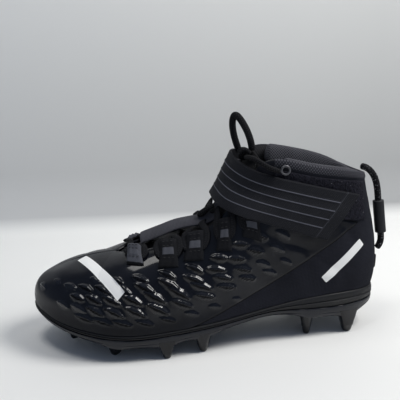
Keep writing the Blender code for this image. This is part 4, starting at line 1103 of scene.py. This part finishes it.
def make_midsole():
    low = lambda turn: plate_top(turn) + CLEARANCE
    steps = [(0.0, -0.3), (0.06, 0.4), (0.30, 1.15), (0.40, 1.2), (0.445, 0.75), (0.50, 0.35), (0.555, 0.75),
             (0.60, 1.2), (0.80, 1.0), (0.92, 0.75), (0.97, 0.4), (1.0, -0.2)]
    heights = [level_between(low, sole_line, share) for share, _ in steps]
    shape = sole_piece(heights, [SOLE_RIM * out for _, out in steps])
    foam = moulded("moulded_foam", "#0d0e11", "#15161a", 0.6, grain=0.0012, relief=0.0001)
    return settle(shape.make("foam_midsole", [foam], angle=40), "midsole_foam", "midsole")


def add_stud(shape, stud):
    """Stud: a tapered blade with a chamfered tip and a foot that flares into the plate."""
    turn = turn_at(stud.along * LENGTH, 1 if stud.across >= 0 else -1)
    root = float(plate_bottom(turn) + plate_top(turn)) / 2
    tip = STUD_HEIGHT * stud.lift
    angles = np.linspace(0, 2 * math.pi, 24, endpoint=False)
    wide = np.sign(np.cos(angles)) * np.abs(np.cos(angles)) ** 0.55
    deep = np.sign(np.sin(angles)) * np.abs(np.sin(angles)) ** 0.75
    turned = math.radians(stud.turn)
    steps = [(0.0, 0.84), (0.04, 0.97), (0.10, 1.03), (0.30, 1.00), (0.32, 1.07), (0.46, 1.03), (0.60, 1.02),
             (0.80, 1.02), (1.0, 1.0)]
    rings = []
    places = np.linspace(0.5, LAST - 0.5, 200)
    edge = outline(places if stud.across >= 0 else TURN - places, 0.0)
    flare = 0.42 if stud.along < 0.3 else 0.12
    for share, swell in steps:
        swell += flare * max(0.0, share - 0.4) ** 1.5
        size = (STUD_TIP_SHARE + (1 - STUD_TIP_SHARE) * share) * swell * stud.size
        x, y = wide * STUD_BASE_LENGTH / 2 * size, deep * STUD_BASE_WIDTH / 2 * size
        along = stud.along * LENGTH + x * math.cos(turned) - y * math.sin(turned)
        across = stud.across * BALL_WIDTH + x * math.sin(turned) + y * math.cos(turned)
        most = np.abs(np.interp(along, edge[:, 0], edge[:, 1])) + SOLE_RIM * 0.9
        across = np.copysign(np.minimum(np.abs(across), most), across)
        rings.append(np.stack([along, across, np.full(len(angles), tip + (root - tip) * share)], -1))
    rings = np.array(rings)
    uv = np.stack(np.meshgrid(np.linspace(0, 0.01, len(steps)), np.linspace(0, 0.05, 25), indexing="ij"), -1)
    shape.add_loft(rings, uv, slot=1)


def stud_share(turns):
    """How much the plate's edge spreads out to meet a stud: 1 beside one and 0 away from all."""
    total = np.zeros(np.shape(turns))
    plan = outline(turns, 0.0)
    for stud in STUDS[:10]:
        away = plan[..., 0] - stud.along * LENGTH
        same = plan[..., 1] * stud.across > 0
        total = np.maximum(total, np.exp(-(away / 0.0125) ** 2) * same)
    return total


def make_outsole():
    steps = [(0.0, 1.8), (0.05, 1.30), (0.12, 1.0), (0.24, 0.62), (0.36, 0.36), (0.45, 0.19), (0.50, 0.26),
             (0.55, 0.12), (0.75, 0.03), (0.92, 0.0), (0.98, 0.08), (1.0, 0.3)]
    heights = [level_between(plate_bottom, plate_top, share) for share, _ in steps]
    offsets = [
        lambda turns, tuck=tuck: SOLE_RIM - PLATE_TUCK * tuck * (1 - 0.8 * stud_share(turns) * (tuck > 0.1))
        for _, tuck in steps]

    def ribs(sheet, share):
        edge = np.clip(np.minimum(share, 1 - share) / 0.12, 0, 1)
        slant = np.sin((sheet[..., 0] + np.abs(sheet[..., 1]) * 0.6) / 0.006 * math.pi)
        spine = np.exp(-(sheet[..., 1] / 0.008) ** 2)
        return -edge * (0.0005 * np.clip(slant, 0, 1) + 0.0014 * spine * (sheet[..., 0] > 0.06))
    shape = sole_piece(heights, offsets, bottom=ribs)
    for stud in STUDS:
        add_stud(shape, stud)
    plate = moulded("moulded_plate_plastic", "#12141a", "#1c1e26", 0.36, grain=0.0016, relief=0.00008)
    tips = moulded("worn_stud_plastic", "#0d0d10", "#1d1d22", 0.20, grain=0.0010, relief=0.00006)
    return settle(shape.make("outsole_with_studs", [plate, tips], angle=38), "plate_plastic", "outsole_plate")


# Webbing lace loops and laces

def tab_spot(tab, side, u, v):
    """Turn and level under a spot of a loop: u across it toward the toe, v from its foot to its fold."""
    place = tab.place + (tab.fold_place - tab.place) * v
    level = tab.low + (tab.high - tab.low) * v
    one_turn = np.linalg.norm(form(place + 0.5, level) - form(place - 0.5, level), axis=-1)
    return of_side_array(place + u * tab.width * MM / 2 / one_turn, side), level + u * tab.tilt / 2


def make_tabs():
    tape = woven("woven_loop_tape", "#07080a", "#18191e", 0.0011)
    # Pale tape: the front loop's own brownish-grey colour, and a painted highlight across the middle of the
    # other loops
    patch = woven("pale_tape_and_painted_highlight", "#2e2f36", "#55575e", 0.0011)
    thread = moulded("sewing_thread", "#1b1b1d", "#333336", 0.7)
    profile_v = np.array([0.0, 0.03, 0.12, 0.34, 0.36, 0.62, 0.64, 0.72, 0.82, 0.92, 0.97, 1.0])
    profile_h = np.array([0.12, 0.30, 0.42, 0.62, 0.70, 0.86, 0.78, 0.88, 1.00, 1.02, 0.90, 0.55])
    for number, tab in enumerate(TABS, 1):
        for side, word in ((1, "lateral"), (-1, "medial")):
            v = np.linspace(0, 1, 44)
            u = np.linspace(-1, 1, 19)
            grid_v, grid_u = np.meshgrid(v, u, indexing="ij")
            waist = 1.0 - 0.10 * grid_v - 0.08 * np.sin(grid_v * math.pi) ** 2
            turn, level = tab_spot(tab, side, grid_u * waist, grid_v)
            level = np.minimum(level, 0.995)
            stand = tab.stand if side > 0 else 0.6 * tab.stand
            lift = np.interp(grid_v, profile_v, profile_h) * stand * MM
            beside = (grid_v > 0.36) & (grid_v < 0.62) & (np.abs(grid_u) > 0.66)
            lift = np.where(beside, lift - 0.0006, lift)
            lift = np.maximum(lift * (1 - 0.30 * np.abs(grid_u) ** 5), 0.0006)
            lift = lift + 0.00012 * np.sin(grid_u * 9 + grid_v * 7)
            thick = np.maximum(0.0014, lift * np.clip(1 - grid_v * 1.9, 0, 1))
            outer, inner = skin(turn, level, lift), skin(turn, level, np.maximum(lift - thick, 0.0002))
            height = lengths_along(outer[:, 9])
            along = np.repeat(height[:, None], len(u), 1)
            across = np.repeat((u * tab.width * MM / 2)[None, :], len(v), 0)
            shape = Shape()
            rings, uv = wall_rings(outer, inner, along, across, edge=0.0003)
            count = rings.shape[1]
            slots = np.zeros((len(v) - 1, count), int)
            # Slot 1 takes the pale patch: over the whole front loop it is the tape's own colour, on the other
            # loops it is a painted highlight
            rows = (v[:-1] > 0.37) & (v[:-1] < 0.60) if number > 1 else v[:-1] > 0.06
            reach = 0.68 if number > 1 else 1.0
            slots[np.ix_(np.flatnonzero(rows), np.flatnonzero(np.abs(u[:-1] + 0.06) < reach))] = 1
            shape.add_loft(rings, uv, slot=0)
            shape.slots[:slots.size] = list(slots.ravel())
            for spot in (0.30, 0.68, 0.82):
                row = int(spot * (len(v) - 1))
                path = outer[row, 2:-2]
                normals = outward(turn[row, 2:-2], level[row, 2:-2])
                add_stitches(shape, path, normals, slot=2)
            settle(shape.make("webbing_loop_%s_%d" % (word, number), [tape, patch, thread], angle=60),
                   "lace_webbing", "lace_loop_%s_%d" % (word, number))


def over_tongue(place, across, lift):
    """Point above the tongue, clear of the eyestays' edges."""
    height = lift + (UPPER_WALL + SKIN_STEP + 10 * CLEARANCE) * (abs(across) / 0.75) ** 2
    return tongue_point(place, across) + crown_direction(place) * height


def lace_run(first, second, side, lift):
    """Stops and normals of the lace from the back of one loop over the throat to the front of the next."""
    stops, normals = [], []

    def at_tab(tab, u, v, raised, where):
        turn, level = tab_spot(tab, where, u, v)
        stops.append(skin(turn, min(level, 1.0), raised))
        normals.append(outward(turn, min(level, 1.0)))
    for u, v, raised in LACE_ARM:
        at_tab(first, u, v, raised, side)
    for share in np.linspace(0.14, 0.86, 9):
        place = first.fold_place + (second.fold_place - first.fold_place) * (share * 0.8 + 0.1)
        across = side * 0.66 * (0.5 - share) / 0.36
        stops.append(over_tongue(place, across, lift * math.exp(-(across / 0.42) ** 2) + 0.0017))
        normals.append(crown_direction(place))
    for u, v, raised in ((1.12, 1.0, 0.0026), (1.2, 0.68, 0.0024), (0.8, 0.42, 0.0020), (0.0, 0.44, 0.0018)):
        at_tab(second, u, v, raised, -side)
    return np.array(stops), np.array(normals)


def make_laces():
    size = sizes()
    lace = braided("flat_woven_lace", "#08090c", "#1f2026", 0.0012)
    ribbon_cloth = woven("pale_lace_ribbon", "#26262b", "#56565c", 0.0011)
    shape = Shape()
    for number, (first, second) in enumerate(zip(TABS[:4], TABS[1:])):
        for side in (1, -1):
            lift = 0.0 if side > 0 else 0.0024
            stops, normals = lace_run(first, second, side, lift)
            path, facing = smooth_path(stops, 90), unit(smooth_path(normals, 90))
            flatness = size.lace_thickness / size.lace_width
            rings, uv = tube_rings(path, size.lace_width / 2, 14, flatness, facing)
            shape.add_loft(rings, uv)
    front = TABS[0]
    stops, normals = [], []
    for across in np.linspace(1, -1, 13):
        side = 1 if across >= 0 else -1
        if abs(across) > 0.8:
            turn, level = tab_spot(front, side, *((0.0, 0.44) if abs(across) > 0.95 else (1.15, 0.80)))
            stops.append(skin(turn, level, 0.0022))
            normals.append(outward(turn, level))
        else:
            stops.append(over_tongue(front.fold_place + 0.26, across * 0.85, 0.0016))
            normals.append(crown_direction(front.fold_place + 0.26))
    path, facing = smooth_path(stops, 90), unit(smooth_path(normals, 90))
    rings, uv = tube_rings(path, size.lace_width / 2, 14, size.lace_thickness / size.lace_width, facing)
    shape.add_loft(rings, uv)
    ribbon = np.array(THROAT_RIBBON) * MM
    low = np.stack([ribbon[:, 0], np.full(len(ribbon), RIBBON_LOW_SIDE), ribbon[:, 1]], -1)
    high = np.stack([ribbon[:, 0], np.full(len(ribbon), RIBBON_HIGH_SIDE), ribbon[:, 2]], -1)
    low, high = smooth_path(low, 80), smooth_path(high, 80)
    share = np.linspace(0, 1, 9)[None, :, None]
    facing = unit(np.cross(np.gradient(low, axis=0), high - low))
    facing = np.where(facing[:, 1:2] < 0, -facing, facing)
    outer = low[:, None] * (1 - share) + high[:, None] * share
    outer = outer + facing[:, None] * (0.0006 + 0.0012 * np.sin(share * math.pi))
    inner = outer - facing[:, None] * 0.0015
    run = lengths_along(low)
    along = np.repeat(run[:, None], 9, 1)
    across = np.repeat(np.linspace(0, 0.0105, 9)[None, :], 80, 0)
    rings, uv = wall_rings(outer, inner, along, across)
    shape.add_loft(rings, uv, slot=1)
    return settle(shape.make("laces", [lace, ribbon_cloth]), "lace_cord", "lace_crossings")


def make_cord(name, route, diameter, made_of, far_end, *nodes, **facts):
    """Cord on its route."""
    path = along_route(route, max(40, 10 * len(route)))
    shape = Shape()
    rings, uv = tube_rings(path, ends_rounded(path, diameter / 2), 16)
    shape.add_loft(rings, uv)
    piece = settle(shape.make(name, [made_of]), "lace_cord", *nodes)
    facts.pop("stiffness", "limp")
    facts.pop("lay", "hanging")
    return piece


def make_lace_ends():
    braid = braided("round_braided_lace", "#08080a", "#212126", 0.0016)
    make_cord("lace_end", LACE_END, LACE_DIAMETER, braid, "object", "lace_end_lateral")
    make_cord("lace_knot_turns", LACE_KNOT, LACE_DIAMETER, braid, "knot", "lace_knot")
    make_cord("lace_bow", LACE_BOW, LACE_DIAMETER, braid, "object", "lace_bow_loop")
    pull = braided("flecked_pull_cord", "#09090b", "#24242a", 0.0018, flecks="#8a8a8e")
    make_cord("tongue_pull", TONGUE_LOOP, PULL_CORD_DIAMETER, braid, "object", "tongue_pull_cord",
              stiffness="medium")
    rubber = moulded("smooth_sleeve_rubber", "#101116", "#181a20", 0.6, relief=0.00003)
    path = along_route(HEEL_LOOP, 121)
    heights = path[:, 2]
    top, foot = (BASE + UPPER_HEIGHT * up for up in (0.610, 0.345))
    held = path[(heights < top - 2 * CLEARANCE) & (heights > foot + 2 * CLEARANCE)]
    held = smooth_path(held[::3], 40)
    shape = Shape()
    radius = ends_rounded(held, SLEEVE_DIAMETER / 2, share=0.16)
    rings, uv = tube_rings(held, radius, 28)
    shape.add_loft(rings, uv)
    sleeve = settle(shape.make("rubber_sleeve", [rubber]), "sleeve_rubber", "heel_loop_sleeve")
    make_cord("heel_pull", HEEL_LOOP, PULL_CORD_DIAMETER, pull, "object", "heel_pull_cord_top",
              "heel_pull_cord_foot", stiffness="medium", with_pieces=[sleeve])


# Strap and trim

def strap_point(at, step):
    low_along, low_up, high_along, high_up, across = np.moveaxis(spline(STRAP, at, closed=False), -1, 0)
    return np.stack([
        LENGTH * (low_along + (high_along - low_along) * step), BALL_WIDTH * across,
        BASE + UPPER_HEIGHT * (low_up + (high_up - low_up) * step)], -1)


def make_strap():
    tree = solid_tree("ankle_strap")
    at = np.linspace(0, len(STRAP) - 1, 170)
    step = np.linspace(0, 1, 33)
    grid_at, grid_step = np.meshgrid(at, step, indexing="ij")
    base = strap_point(grid_at, grid_step)
    run = strap_point(at + 0.2, 0.5) - strap_point(at - 0.2, 0.5)
    normal = unit(np.stack([-run[:, 1], run[:, 0], np.zeros(len(run))], -1))
    push = np.full(grid_at.shape, np.nan)
    for i, where in enumerate(np.clip(at, 0.03, len(STRAP) - 1.03)):
        for j, share in enumerate(np.clip(step, 0.015, 0.985)):
            point = strap_point(where, share)
            hit = tree.ray_cast(Vector(point + normal[i] * BALL_WIDTH), Vector(-normal[i]), BALL_WIDTH * 1.05)
            if hit[0] is not None:
                push[i, j] = BALL_WIDTH - hit[3]
    for j in range(push.shape[1]):
        known = ~np.isnan(push[:, j])
        push[:, j] = np.interp(at, at[known], push[known, j])
    for _ in range(10):
        spread = np.pad(push, 1, mode="edge")
        beside = spread[:-2, 1:-1] + spread[2:, 1:-1] + spread[1:-1, :-2] + spread[1:-1, 2:]
        push = 0.5 * push + 0.125 * beside
    outer = base + normal[:, None] * push[..., None]
    along = np.stack([lengths_along(outer[:, j]) for j in range(len(step))], 1)
    share = 1 - grid_step
    lines = np.array([0.22, 0.41, 0.60, 0.79])
    plain_end = np.clip((along - 0.0115) / 0.0006, 0, 1)
    relief = sum(np.exp(-((share - line) / 0.011) ** 2) for line in lines) * plain_end * 0.0005
    relief += 0.00035 * np.clip(1 - np.abs(along - 0.0113) / 0.0009, 0, 1)
    outer = outer + normal[:, None] * relief[..., None]
    inner = base + normal[:, None] * (push - STRAP_WALL)[..., None]
    rings, uv = wall_rings(outer, inner, along, share * 0.050, edge=0.0007)
    shape = Shape()
    shape.add_loft(rings, uv)
    # Elastic webbing: ribs run round the ankle, with four thin grey lines woven in
    webbing, tree, shader = start_material("elastic_strap_webbing", 0.86, specular_ior_level=0.2)
    parts = add_node(tree, "ShaderNodeSeparateXYZ", links={
        "Vector": add_node(tree, "ShaderNodeTexCoord").outputs["UV"]})
    ribs, cross = threads(tree, 0.0013, 90.0), threads(tree, 0.0017, 0.0)
    tone = maths(tree, "MULTIPLY", mapped(tree, maths(tree, "MULTIPLY", ribs, cross), 0.0, 0.9, 0.3, 0.9),
                 mapped(tree, noise(tree, 0.035), 0.3, 0.7, 0.75, 1.2))
    colour = mix_colour(tree, tone, linear("#0d0e12"), linear("#25262c"))
    nearest = 1.0
    for line in lines:
        nearest = maths(tree, "MINIMUM", nearest, maths(
            tree, "ABSOLUTE", maths(tree, "SUBTRACT", parts.outputs["Y"], line * 0.050)))
    drawn = maths(tree, "MULTIPLY", mapped(tree, nearest, 0.0003, 0.0007, 1.0, 0.0),
                  mapped(tree, parts.outputs["X"], 0.0113, 0.0118))
    colour = mix_colour(tree, drawn, colour, linear("#60616a"))
    border = mapped(tree, maths(tree, "ABSOLUTE", maths(tree, "SUBTRACT", parts.outputs["X"], 0.0110)),
                    0.0004, 0.0008, 0.8, 0.0)
    colour = mix_colour(tree, border, colour, linear("#34353b"))
    tree.links.new(colour, shader.inputs["Base Color"])
    bump(tree, shader, maths(tree, "MULTIPLY", ribs, cross), 0.0003, 0.8)
    return settle(shape.make("elastic_ankle_strap", [webbing], angle=60), "strap_webbing", "ankle_strap")


def surface_patch(turns, levels, lift, wall, fuzz=0.0):
    """Closed thin piece on the upper's outer face, with its edges rounded and its face roughened."""
    grid_turn, grid_level = np.meshgrid(turns, levels, indexing="ij")
    rough = np.random.default_rng(7).normal(0.0, 1.0, grid_turn.shape)
    rough = (rough + np.roll(rough, 1, 0) + np.roll(rough, 1, 1)) / 3
    edge = np.minimum.outer(np.minimum(np.arange(len(turns)), np.arange(len(turns))[::-1]),
                            np.minimum(np.arange(len(levels)), np.arange(len(levels))[::-1]))
    height = wall * np.where(edge == 0, 0.5, 1.0) + fuzz * rough * (edge > 0)
    outer, inner = skin(grid_turn, grid_level, lift + height), skin(grid_turn, grid_level, lift)
    run = lengths_along(outer[:, len(levels) // 2])
    rise = lengths_along(outer[len(turns) // 2])
    along, across = np.meshgrid(run, rise, indexing="ij")
    shape = Shape()
    shape.add_loft(*wall_rings(outer, inner, along, across, edge=0.0002))
    return shape


def make_trim():
    shape = surface_patch(
        np.linspace(1.6, 5.6, 150), np.linspace(0.62, 0.93, 44), 0.0003, PATCH_WALL, 0.00022)
    # Brushed loop pile: soft bluish black that holds pale lint
    pile, tree, shader = start_material("brushed_loop_pile", 0.95, specular_ior_level=0.15)
    fine, lint = noise(tree, 0.0016, 4.0, 0.7), noise(tree, 0.0034, 1.0)
    colour = mix_colour(tree, mapped(tree, fine, 0.35, 0.7), linear("#0c0c12"), linear("#282832"))
    colour = mix_colour(tree, mapped(tree, lint, 0.735, 0.76), colour, linear("#84848a"))
    tree.links.new(colour, shader.inputs["Base Color"])
    bump(tree, shader, fine, 0.0012, 1.0)
    settle(shape.make("loop_pile_patch", [pile]), "loop_fastener", "loop_fastener")
    tape = woven("heel_tape", "#111112", "#2b2b2d", 0.0012)
    shape = surface_patch(np.linspace(-0.35, 0.35, 24), np.linspace(0.13, 0.26, 16), 0.0003, WEBBING_WALL)
    settle(shape.make("heel_tape_strip", [tape]), "lace_webbing", "heel_webbing")
    point, along, upward, normal = form_frame(5.15, 0.94)
    centre = point + normal * (PATCH_WALL + 3 * CLEARANCE + EYELET_WIRE / 2)
    circle = np.linspace(0, 2 * math.pi, 49)[:-1]
    ring_radius = (EYELET_DIAMETER - EYELET_WIRE) / 2
    side = unit(np.cross(upward, normal))
    out = side[None] * np.cos(circle)[:, None] + np.cross(normal, side)[None] * np.sin(circle)[:, None]
    small = np.linspace(0, 2 * math.pi, 13)[:-1]
    rings = (centre + out[:, None] * (ring_radius + np.cos(small)[None, :, None] * EYELET_WIRE / 2)
             + normal * np.sin(small)[None, :, None] * EYELET_WIRE / 2)
    shape = Shape()
    uv = np.stack(np.meshgrid(np.linspace(0, 0.02, 49), np.linspace(0, 0.005, 12), indexing="ij"), -1)
    shape.add_grid(rings, uv, closed=True)
    first = 0
    faces, spots = [], []
    for i in range(48):
        j = (i + 1) % 48
        faces.append((first + i * 12 + 11, first + j * 12 + 11, first + j * 12, first + i * 12))
        spots.append([(0, 0), (0.001, 0), (0.001, 0.001), (0, 0.001)])
    shape.add_faces(faces, spots)
    # Coated brass ring: dark paint with a dull metal edge
    metal, tree, shader = start_material("coated_ring_metal", 0.42, metallic=0.7)
    tree.links.new(mix_colour(tree, noise(tree, 0.002), linear("#3c3c3f"), linear("#77777b")),
                   shader.inputs["Base Color"])
    settle(shape.make("eyelet_ring", [metal]), "eyelet_metal", "lace_eyelet")


# Stage

def make_stage():
    look = looks()
    profile = [(1.4, 0.0), (0.3, 0.0), (-0.33, 0.0)]
    for angle in np.linspace(0, math.pi / 2, 12)[1:]:
        profile.append((-0.33 - 0.08 * math.sin(angle), 0.08 * (1 - math.cos(angle))))
    profile += [(-0.41, height) for height in (0.14, 0.24, 0.34, 0.8, 1.9)]
    shape = Shape()
    rows = np.array([[(x, y, z) for x in np.linspace(-1.8, 1.8, 13)] for y, z in profile])
    shape.add_grid(rows, rows[..., :2].copy())
    # Matt painted board: the floor is nearly white and the wall behind it a light grey. Painted light: the
    # wall is darker low down and toward -X and lighter high up, and the floor is lighter toward the wall,
    # standing for how the lamps' light falls off
    board, tree, shader = start_material("matt_painted_board", 0.75)
    parts = add_node(tree, "ShaderNodeSeparateXYZ", links={
        "Vector": add_node(tree, "ShaderNodeTexCoord").outputs["Object"]})
    rise, along = mapped(tree, parts.outputs["Z"], 0.03, 0.34), mapped(tree, parts.outputs["X"], -0.35, 0.30)
    wall = mix_colour(tree, along, mix_colour(tree, rise, linear("#abacac"), linear("#c3c4c3")),
                      mix_colour(tree, rise, tuple(look.wall_colour), linear("#dfe0df")))
    # Painted light on the floor: lighter toward the wall, darker toward the front
    ground = mix_colour(tree, mapped(tree, parts.outputs["Y"], -0.33, -0.02), linear("#fafaf7"),
                        tuple(look.floor_colour))
    tree.links.new(mix_colour(tree, mapped(tree, parts.outputs["Z"], 0.0005, 0.016), ground, wall),
                   shader.inputs["Base Color"])
    floor = shape.make("studio_floor", [board])

    scene = bpy.context.scene
    scene.view_settings.view_transform = "Standard"
    lens = bpy.data.cameras.new("camera")
    lens.sensor_width, lens.lens, lens.clip_start = 36.0, CAMERA_LENS, 0.01
    camera = bpy.data.objects.new("camera", lens)
    scene.collection.objects.link(camera)
    forward = Vector(CAMERA_FORWARD).normalized()
    level_camera = forward.to_track_quat("-Z", "Y").to_matrix()
    turned = Matrix.Rotation(math.radians(CAMERA_ROLL), 3, forward) @ level_camera
    camera.matrix_world = Matrix.Translation(Vector(CAMERA_PLACE) + Vector(ORIGIN)) @ turned.to_4x4()
    scene.camera = camera

    def lamp(name, place, aim, size, power, colour):
        light = bpy.data.lights.new(name, "AREA")
        light.shape, light.size, light.size_y = "RECTANGLE", size[0], size[1]
        light.energy, light.color = power, colour
        holder = bpy.data.objects.new(name, light)
        holder.location = place
        holder.rotation_euler = (Vector(aim) - Vector(place)).to_track_quat("-Z", "Y").to_euler()
        scene.collection.objects.link(holder)
    lamp("key_softbox", (-0.60, 0.20, 0.88), (0.0, 0.02, 0.03), (0.34, 0.52), 8.6, (1.0, 0.985, 0.955))
    lamp("top_softbox", (0.22, 0.10, 1.05), (0.0, 0.02, 0.0), (0.40, 0.30), 2.8, (1.0, 0.985, 0.955))
    world = bpy.data.worlds.new("studio_air")
    world.use_nodes = True
    world.node_tree.nodes["Background"].inputs["Color"].default_value = (0.58, 0.72, 1.0, 1.0)
    world.node_tree.nodes["Background"].inputs["Strength"].default_value = 0.22
    scene.world = world


# Operators, panel and registration

class CleatOperator:
    bl_options = {"REGISTER", "UNDO"}

    def execute(self, context):
        for build in self.steps:
            build()
        return {"FINISHED"}


class CLEAT_OT_stage(CleatOperator, bpy.types.Operator):
    """Set up the floor, lights and camera."""
    bl_idname = "cleat.stage"
    bl_label = "Stage"
    steps = (make_stage,)


class CLEAT_OT_cords(CleatOperator, bpy.types.Operator):
    """Lay the lace's knot, bow and end and the two pull cords."""
    bl_idname = "cleat.cords"
    bl_label = "Cords"
    steps = (make_lace_ends,)


class CLEAT_OT_upper(CleatOperator, bpy.types.Operator):
    """Build the upper's moulded skin, quarter and wall."""
    bl_idname = "cleat.upper"
    bl_label = "Upper"
    steps = (make_upper,)


class CLEAT_OT_linings(CleatOperator, bpy.types.Operator):
    """Build the tongue, the collar's lining and the insole."""
    bl_idname = "cleat.linings"
    bl_label = "Tongue and linings"
    steps = (make_tongue, make_padding, make_insole)


class CLEAT_OT_sole(CleatOperator, bpy.types.Operator):
    """Build the midsole and the plate with its studs."""
    bl_idname = "cleat.sole"
    bl_label = "Sole"
    steps = (make_midsole, make_outsole)


class CLEAT_OT_lacing(CleatOperator, bpy.types.Operator):
    """Build the webbing loops and run the flat lace through them."""
    bl_idname = "cleat.lacing"
    bl_label = "Lacing"
    steps = (make_tabs, make_laces)


class CLEAT_OT_strap(CleatOperator, bpy.types.Operator):
    """Build the ankle strap, its pile patch, the heel tape and the eyelet."""
    bl_idname = "cleat.strap"
    bl_label = "Strap and trim"
    steps = (make_strap, make_trim)


class CLEAT_PT_panel(bpy.types.Panel):
    """Sizes, colours and building steps of the cleat."""
    bl_idname = "CLEAT_PT_panel"
    bl_label = "Football cleat"
    bl_space_type = "VIEW_3D"
    bl_region_type = "UI"
    bl_category = "Cleat"

    def draw(self, context):
        for group in (sizes(), looks()):
            box = self.layout.box()
            for name in group.bl_rna.properties.keys():
                if name not in ("rna_type", "name"):
                    box.prop(group, name)
        for operator in OPERATORS:
            self.layout.operator(operator.bl_idname)


OPERATORS = (CLEAT_OT_stage, CLEAT_OT_cords, CLEAT_OT_upper, CLEAT_OT_linings, CLEAT_OT_sole, CLEAT_OT_lacing,
             CLEAT_OT_strap)
CLASSES = (CleatSizes, CleatLooks) + OPERATORS + (CLEAT_PT_panel,)


def register():
    for made in CLASSES:
        bpy.utils.register_class(made)
    bpy.types.Scene.cleat_sizes = bpy.props.PointerProperty(type=CleatSizes)
    bpy.types.Scene.cleat_looks = bpy.props.PointerProperty(type=CleatLooks)


def unregister():
    del bpy.types.Scene.cleat_looks
    del bpy.types.Scene.cleat_sizes
    for made in reversed(CLASSES):
        bpy.utils.unregister_class(made)


def main():
    register()
    bpy.ops.object.select_all(action="DESELECT")
    for operator in OPERATORS:
        group, name = operator.bl_idname.split(".")
        getattr(getattr(bpy.ops, group), name)()


if __name__ == "__main__":
    main()
